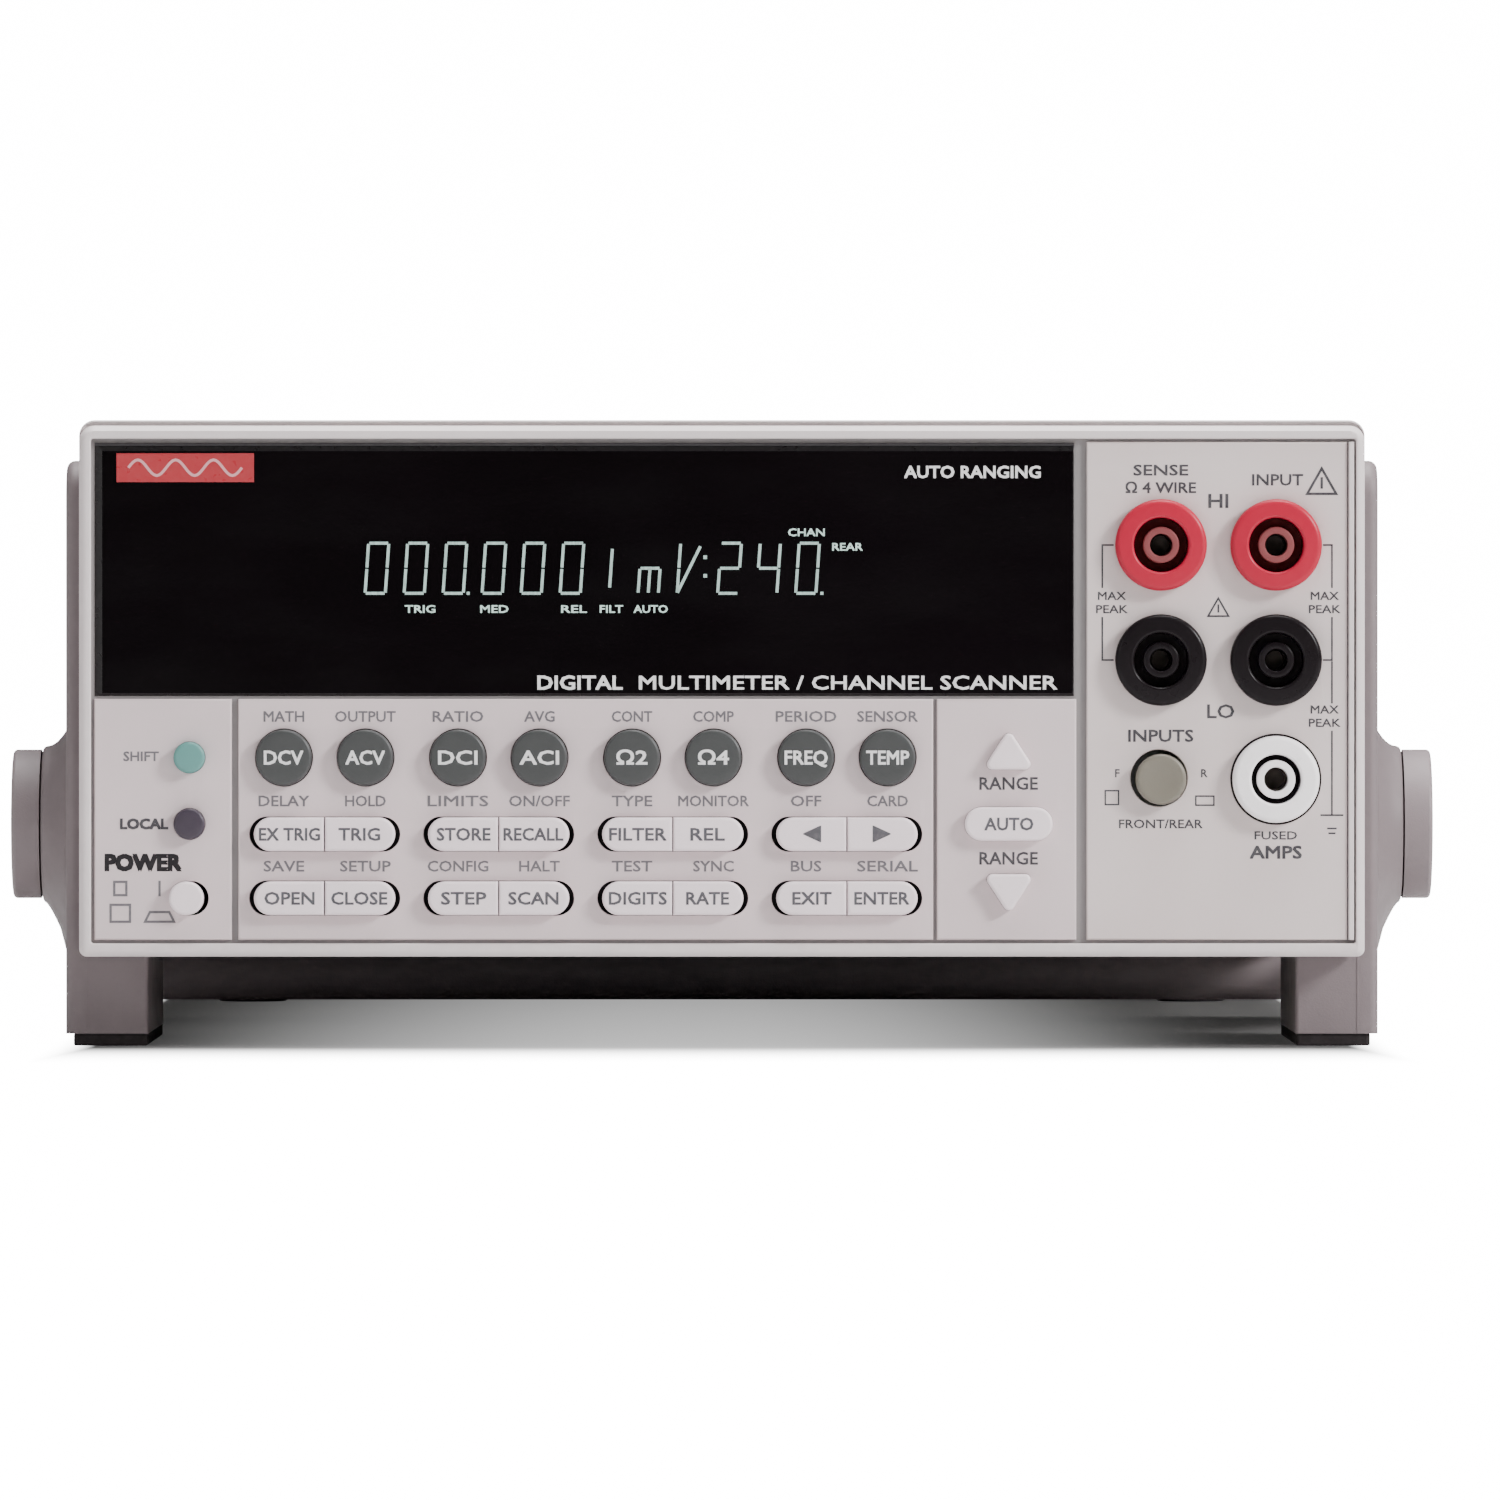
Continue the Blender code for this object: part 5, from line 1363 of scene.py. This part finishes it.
# ======================== rear panel
REAR_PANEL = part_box("card_cover_upper")[0].y
INLET_Z = 0.0450  # the socket's height over the inlet's lower edge


def make_connector(name, pins_per_row):
    """A D-shaped connector: plated flange and shell, black insert, contacts and two jackscrews."""
    low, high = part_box(name)
    x, z = key_centre(name)
    half_w, half_h = (high.x - low.x) / 2, (high.z - low.z) / 2
    shell_w, shell_h, lean, rim = half_w - 0.0060, half_h - 0.0008, 0.0010, 0.0006
    flange = shifted(rounded_rectangle(-half_w, half_w, -half_h, half_h, 0.0012), x, z)
    base_w = shell_w - lean
    corners = [(-base_w, -shell_h), (base_w, -shell_h), (shell_w, shell_h), (-shell_w, shell_h)]
    shell = shifted(filleted(corners, [0.0015] * 4), x, z)
    levels = [(0, REAR_PANEL), (0, high.y - 0.0003), (0.0002, high.y), (rim, high.y), (rim, REAR_PANEL)]
    piece(f"{name}_shell", "connector_metal", "case",
          slab(flange, REAR_PANEL + 0.0010, low.y + 0.004, 0.0003), loft(nested(shell, levels), ring=True),
          replaces=(name,))
    insert = inset(shell, rim + 0.0004)
    piece(f"{name}_insert", "black_plastic", "case", slab(insert, high.y - 0.0014, REAR_PANEL, 0.0003))
    span, pin_radius, pin_end = 2 * (shell_w - 0.0045), 0.0005, high.y - 0.0011
    pins = []
    for row, count in enumerate(pins_per_row):
        level = z + (0.5 - row) * shell_h * 0.75
        for i in range(count):
            at = (x + span * ((i + 0.5) / count - 0.5), level)
            pins.append(plain(circle(pin_radius, 12, at), pin_end, REAR_PANEL))
    piece(f"{name}_contacts", "contact_gold", "case", *pins)
    places = [(x + side * (half_w - 0.0030), z) for side in (-1, 1)]
    posts = [slab(circle(0.0024, 6, at), REAR_PANEL + 0.0042, REAR_PANEL + 0.0005, 0.0003) for at in places]
    piece(f"{name}_jackscrews", "screw_steel", "case", *posts)


def make_inlet():
    """The mains inlet: a flanged black moulding with a hooded socket and three blades."""
    low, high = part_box("power_inlet")
    drawer_low, drawer_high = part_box("fuse_drawer")
    x, socket_z = (low.x + high.x) / 2, low.z + INLET_Z
    half_body, body_edge, gap, past = 0.0136, 0.0027, 0.0002, 0.002
    flange = rounded_rectangle(low.x, high.x, low.z, high.z, 0.0030)
    body = rounded_rectangle(x - half_body, x + half_body, low.z + body_edge, high.z - body_edge, 0.0010, 4)
    w, h = 0.0120, 0.00825
    corners = [(-w, -h), (w, -h), (w, h / 2), (w / 2, h), (-w / 2, h), (-w, h / 2)]
    mouth = shifted(filleted(corners, [0.0012] * 6, 4), x, socket_z)
    pocket = rounded_rectangle(
        drawer_low.x - gap, drawer_high.x + gap, drawer_low.z - gap, drawer_high.z + gap, 0.0010, 4
    )
    socket_back = high.y - 0.016
    recess = [(-0.0004, high.y + past), (-0.0004, high.y), (0, high.y - 0.0005), (0, socket_back)]
    cutters = [loft(nested(mouth, recess)), plain(pocket, drawer_low.y - CLEAR, high.y + past)]
    piece("power_inlet_housing", "black_plastic", "case", slab(flange, high.y, REAR_PANEL - 0.0001, 0.0006),
          replaces=("power_inlet",),
          joins=([plain(body, low.y, REAR_PANEL + 0.001)],), cuts=(cutters,))
    blade = rectangle(-0.0010, 0.0010, -0.0020, 0.0020)
    blade_tip, blade_root = high.y - 0.0044, socket_back - 0.0005
    blades = [
        slab(shifted(blade, x + dx, socket_z + dz), blade_tip, blade_root, 0.0004)
        for dx, dz in ((-0.007, -0.0020), (0.007, -0.0020), (0.0, 0.0025))
    ]
    piece("power_inlet_blades", "contact_nickel", "case", *blades)


def make_fuse_drawer():
    """The drawer under the socket, with a slot to pull it by and three grip ribs."""
    low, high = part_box("fuse_drawer")
    x, z = key_centre("fuse_drawer")
    outline = rounded_rectangle(low.x, high.x, low.z, high.z, 0.0008, 4)
    half_notch, half_rib, rib_height = 0.0050, 0.0080, 0.0006
    notch = rounded_rectangle(x - half_notch, x + half_notch, z - 0.0048, z - 0.0030, 0.0006, 4)
    ribs = []
    for rib_z in (z + 0.0010, z + 0.0024, z + 0.0038):
        rib = rectangle(x - half_rib, x + half_rib, rib_z, rib_z + rib_height)
        ribs.append(slab(rib, high.y, high.y - 0.0012, 0.0002))
    piece("fuse_drawer_tray", "black_plastic", "fuse_drawer",
          slab(outline, high.y - 0.0004, low.y, 0.0004), *ribs,
          replaces=("fuse_drawer",),
          cuts=([plain(notch, high.y - 0.0022, high.y + 0.001)],))


def make_card_covers():
    """Blank plates over the option slots, each with a stamped rib and two knurled thumbscrews."""
    count, radii, knob_in, knob_length, shank_radius = 48, (0.0040, 0.0037), 0.0065, 0.0065, 0.0022
    rib_end, rib_half = 0.014, 0.0045
    turns = [2 * pi * i / count for i in range(count)]
    knurl = [(radii[i % 2] * cos(turn), radii[i % 2] * sin(turn)) for i, turn in enumerate(turns)]
    for label in ("lower", "upper"):
        name = f"card_cover_{label}"
        low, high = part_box(name)
        x, z = key_centre(name)
        outline = rounded_rectangle(low.x, high.x, low.z, high.z, 0.0012, 4)
        rib = rounded_rectangle(low.x + rib_end, high.x - rib_end, z - rib_half, z + rib_half, 0.0040)
        piece(f"{name}_plate", "chassis_steel", "case",
              slab(outline, high.y, low.y, 0.0003), slab(rib, high.y + 0.0007, low.y + 0.0002, 0.0006),
              replaces=(name,))
        knobs = []
        for side in (-1, 1):
            place = (x + side * ((high.x - low.x) / 2 - knob_in), z)
            knobs.append(slab(shifted(knurl, *place), high.y + knob_length, high.y + 0.0010, 0.0004))
            knobs.append(plain(circle(shank_radius, 24, place), high.y + 0.0012, high.y - 0.0002))
        piece(f"{name}_thumbscrews", "screw_steel", "case", *knobs, angle=30)


def make_rear_details():
    """A ground post with its nut, and the screws that hold the rear panel."""
    panel = REAR_PANEL - CLEAR
    ground, screw_x, screw_z, edge, sunk = (-0.0550, 0.0300), 0.0985, BEZEL_LOW.z + 0.0105, 0.0004, 0.0002
    nut_radius, nut_height, stud_radius, stud_length, screw_radius = 0.0042, 0.0030, 0.0020, 0.0062, 0.0018
    heads = [
        slab(circle(nut_radius, 6, ground), panel + nut_height, panel - sunk, edge),
        slab(circle(stud_radius, 24, ground), panel + stud_length, panel, edge),
    ]
    heads += [screw(x, screw_z, panel - sunk, screw_radius) for x in (-screw_x, screw_x)]
    piece("rear_panel_fasteners", "screw_steel", "case", *heads)


# ======================== the pieces that stay as CAD
def dress_kept_nodes():
    for name, material in (
        ("chassis", "chassis_steel"), ("display_board", "circuit_board"), ("main_board", "circuit_board"),
        ("display_tube", "tube_glass"), ("key_mat", "key_mat"), ("mains_transformer", "transformer_core"),
    ):
        keep(name, material)


# ======================== stage
CAMERA_DISTANCE = 2.6
CAMERA_HEIGHT = 0.066
FRAME_WIDTH = 0.2484
SENSOR = 0.036
AIM = Vector((0.00465, BEZEL_FRONT, 0.04935))
BACKDROP = 16.0  # what the camera sees beyond the object: paper white
AMBIENT = 0.22
FLOOR_COLOUR = (0.69, 0.682, 0.682)
FLOOR_TINT = 0.15  # of that colour, in the camera's own view: painted shade that darkens the lit paper under the case, where the painted glow then sets its brightness


def stand(name, data, at, aim):
    """Adds a camera or a light at one place, turned towards another."""
    made = bpy.data.objects.new(name, data)
    bpy.context.scene.collection.objects.link(made)
    made.location = at
    made.rotation_euler = (Vector(aim) - Vector(at)).to_track_quat("-Z", "Y").to_euler()
    return made


def make_camera():
    data = bpy.data.cameras.new("camera")
    data.sensor_width = SENSOR * 1000
    data.lens = SENSOR * 1000 * CAMERA_DISTANCE / FRAME_WIDTH
    data.clip_start, data.clip_end = 0.05, 60
    place = (0, BEZEL_FRONT - CAMERA_DISTANCE, CAMERA_HEIGHT)
    bpy.context.scene.camera = stand("camera", data, place, AIM)


def softbox(name, at, width, height, power):
    data = bpy.data.lights.new(name, "AREA")
    data.shape = "RECTANGLE"
    data.size, data.size_y = width, height
    data.energy = power
    stand(name, data, at, (0, -0.1, 0.05)).visible_camera = False


def make_lights():
    softbox("key_light", (1.34, -0.97, 0.87), 0.40, 0.40, 40)
    softbox("fill_light", (-1.3, -1.3, 0.5), 0.9, 0.7, 4.2)
    softbox("top_light", (0.1, -0.05, 1.5), 1.1, 0.7, 50)


def make_world():
    world = bpy.data.worlds.new("studio")
    bpy.context.scene.world = world
    world.use_nodes = True
    tree = world.node_tree
    background = tree.nodes["Background"]
    background.inputs["Color"].default_value = (1, 1, 1, 1)
    seen = node(tree, "ShaderNodeLightPath").outputs["Is Camera Ray"]
    strength = remap(tree, seen, 0, 1, AMBIENT, BACKDROP)
    tree.links.new(strength, background.inputs["Strength"])


def floor_paper():
    """Pale paper. To the camera it is as white as the backdrop beyond the case's sides, in front of the case
    and behind it. Under the case the camera alone sees it glow with painted light, brighter towards the front
    and the middle, which fades into painted shade towards both sides."""
    material, tree, shader = new_material("floor_paper", FLOOR_COLOUR, 0.9, specular=0.0)
    shader.inputs["Emission Color"].default_value = (1, 1, 1, 1)
    add_bump(tree, shader, noise(tree, 700, 3), 0.00005, 0.2)
    split = node(tree, "ShaderNodeSeparateXYZ")
    tree.links.new(node(tree, "ShaderNodeNewGeometry").outputs["Position"], split.inputs["Vector"])
    x, y = split.outputs["X"], split.outputs["Y"]
    seen = node(tree, "ShaderNodeLightPath").outputs["Is Camera Ray"]
    half, front, behind = BEZEL_HIGH.x, BEZEL_FRONT, 0.20

    def ramp(value, start, end, to_low, to_high, interpolation="SMOOTHSTEP"):
        return remap(tree, value, start, end, to_low, to_high, interpolation)

    white = ramp(combine(tree, "ABSOLUTE", x), half - 0.0025, half + 0.0055, 0, BACKDROP)
    for start, end in ((front + 0.005, front - 0.105), (behind, behind + 0.10)):
        white = combine(tree, "MAXIMUM", white, ramp(y, start, end, 0, BACKDROP))
    # painted light: a glow that only the camera sees under the case, brighter towards the front, stands in
    # for the light that reaches under it
    painted_light_under_case = ramp(y, behind, front, 0.45, 0.76, "LINEAR")
    # painted shade: the glow fades towards both sides, and faster on the right
    for start, end, to_low, to_high in ((-0.11, -0.01, 0.03, 1), (0.0, 0.09, 1, 0.05)):
        painted_light_under_case = combine(tree, "MULTIPLY", painted_light_under_case, ramp(x, start, end, to_low, to_high))
    glow = combine(tree, "MULTIPLY", combine(tree, "ADD", white, painted_light_under_case), seen)
    tree.links.new(glow, shader.inputs["Emission Strength"])
    colour = blend_colours(tree, seen, FLOOR_COLOUR, tinted(FLOOR_COLOUR, FLOOR_TINT))
    tree.links.new(colour, shader.inputs["Base Color"])
    return material


def make_floor():
    half, thickness = 15, 0.01
    mesh = mesh_of([plain(rectangle(-half, half, -half, half), -thickness, 0.0, along_z)])
    floor = bpy.data.objects.new("floor", mesh)
    bpy.context.scene.collection.objects.link(floor)
    mesh.materials.append(floor_paper())


make_camera()
make_world()
make_lights()
make_floor()
make_bezel_frame()
make_panel()
make_window()
make_display()
make_window_printing()
make_badge()
make_keys()
make_power_button()
make_selector()
for jack, finishes in JACKS.items():
    make_jack(jack, *finishes)
make_key_labels()
make_shifted_labels()
make_panel_labels()
make_power_printing()
make_sleeve()
make_rear_bezel()
make_feet()
make_ears()
make_handle()
make_connector("bus_connector", (12, 12))
make_connector("serial_connector", (5, 4))
make_inlet()
make_fuse_drawer()
make_card_covers()
make_rear_details()
dress_kept_nodes()
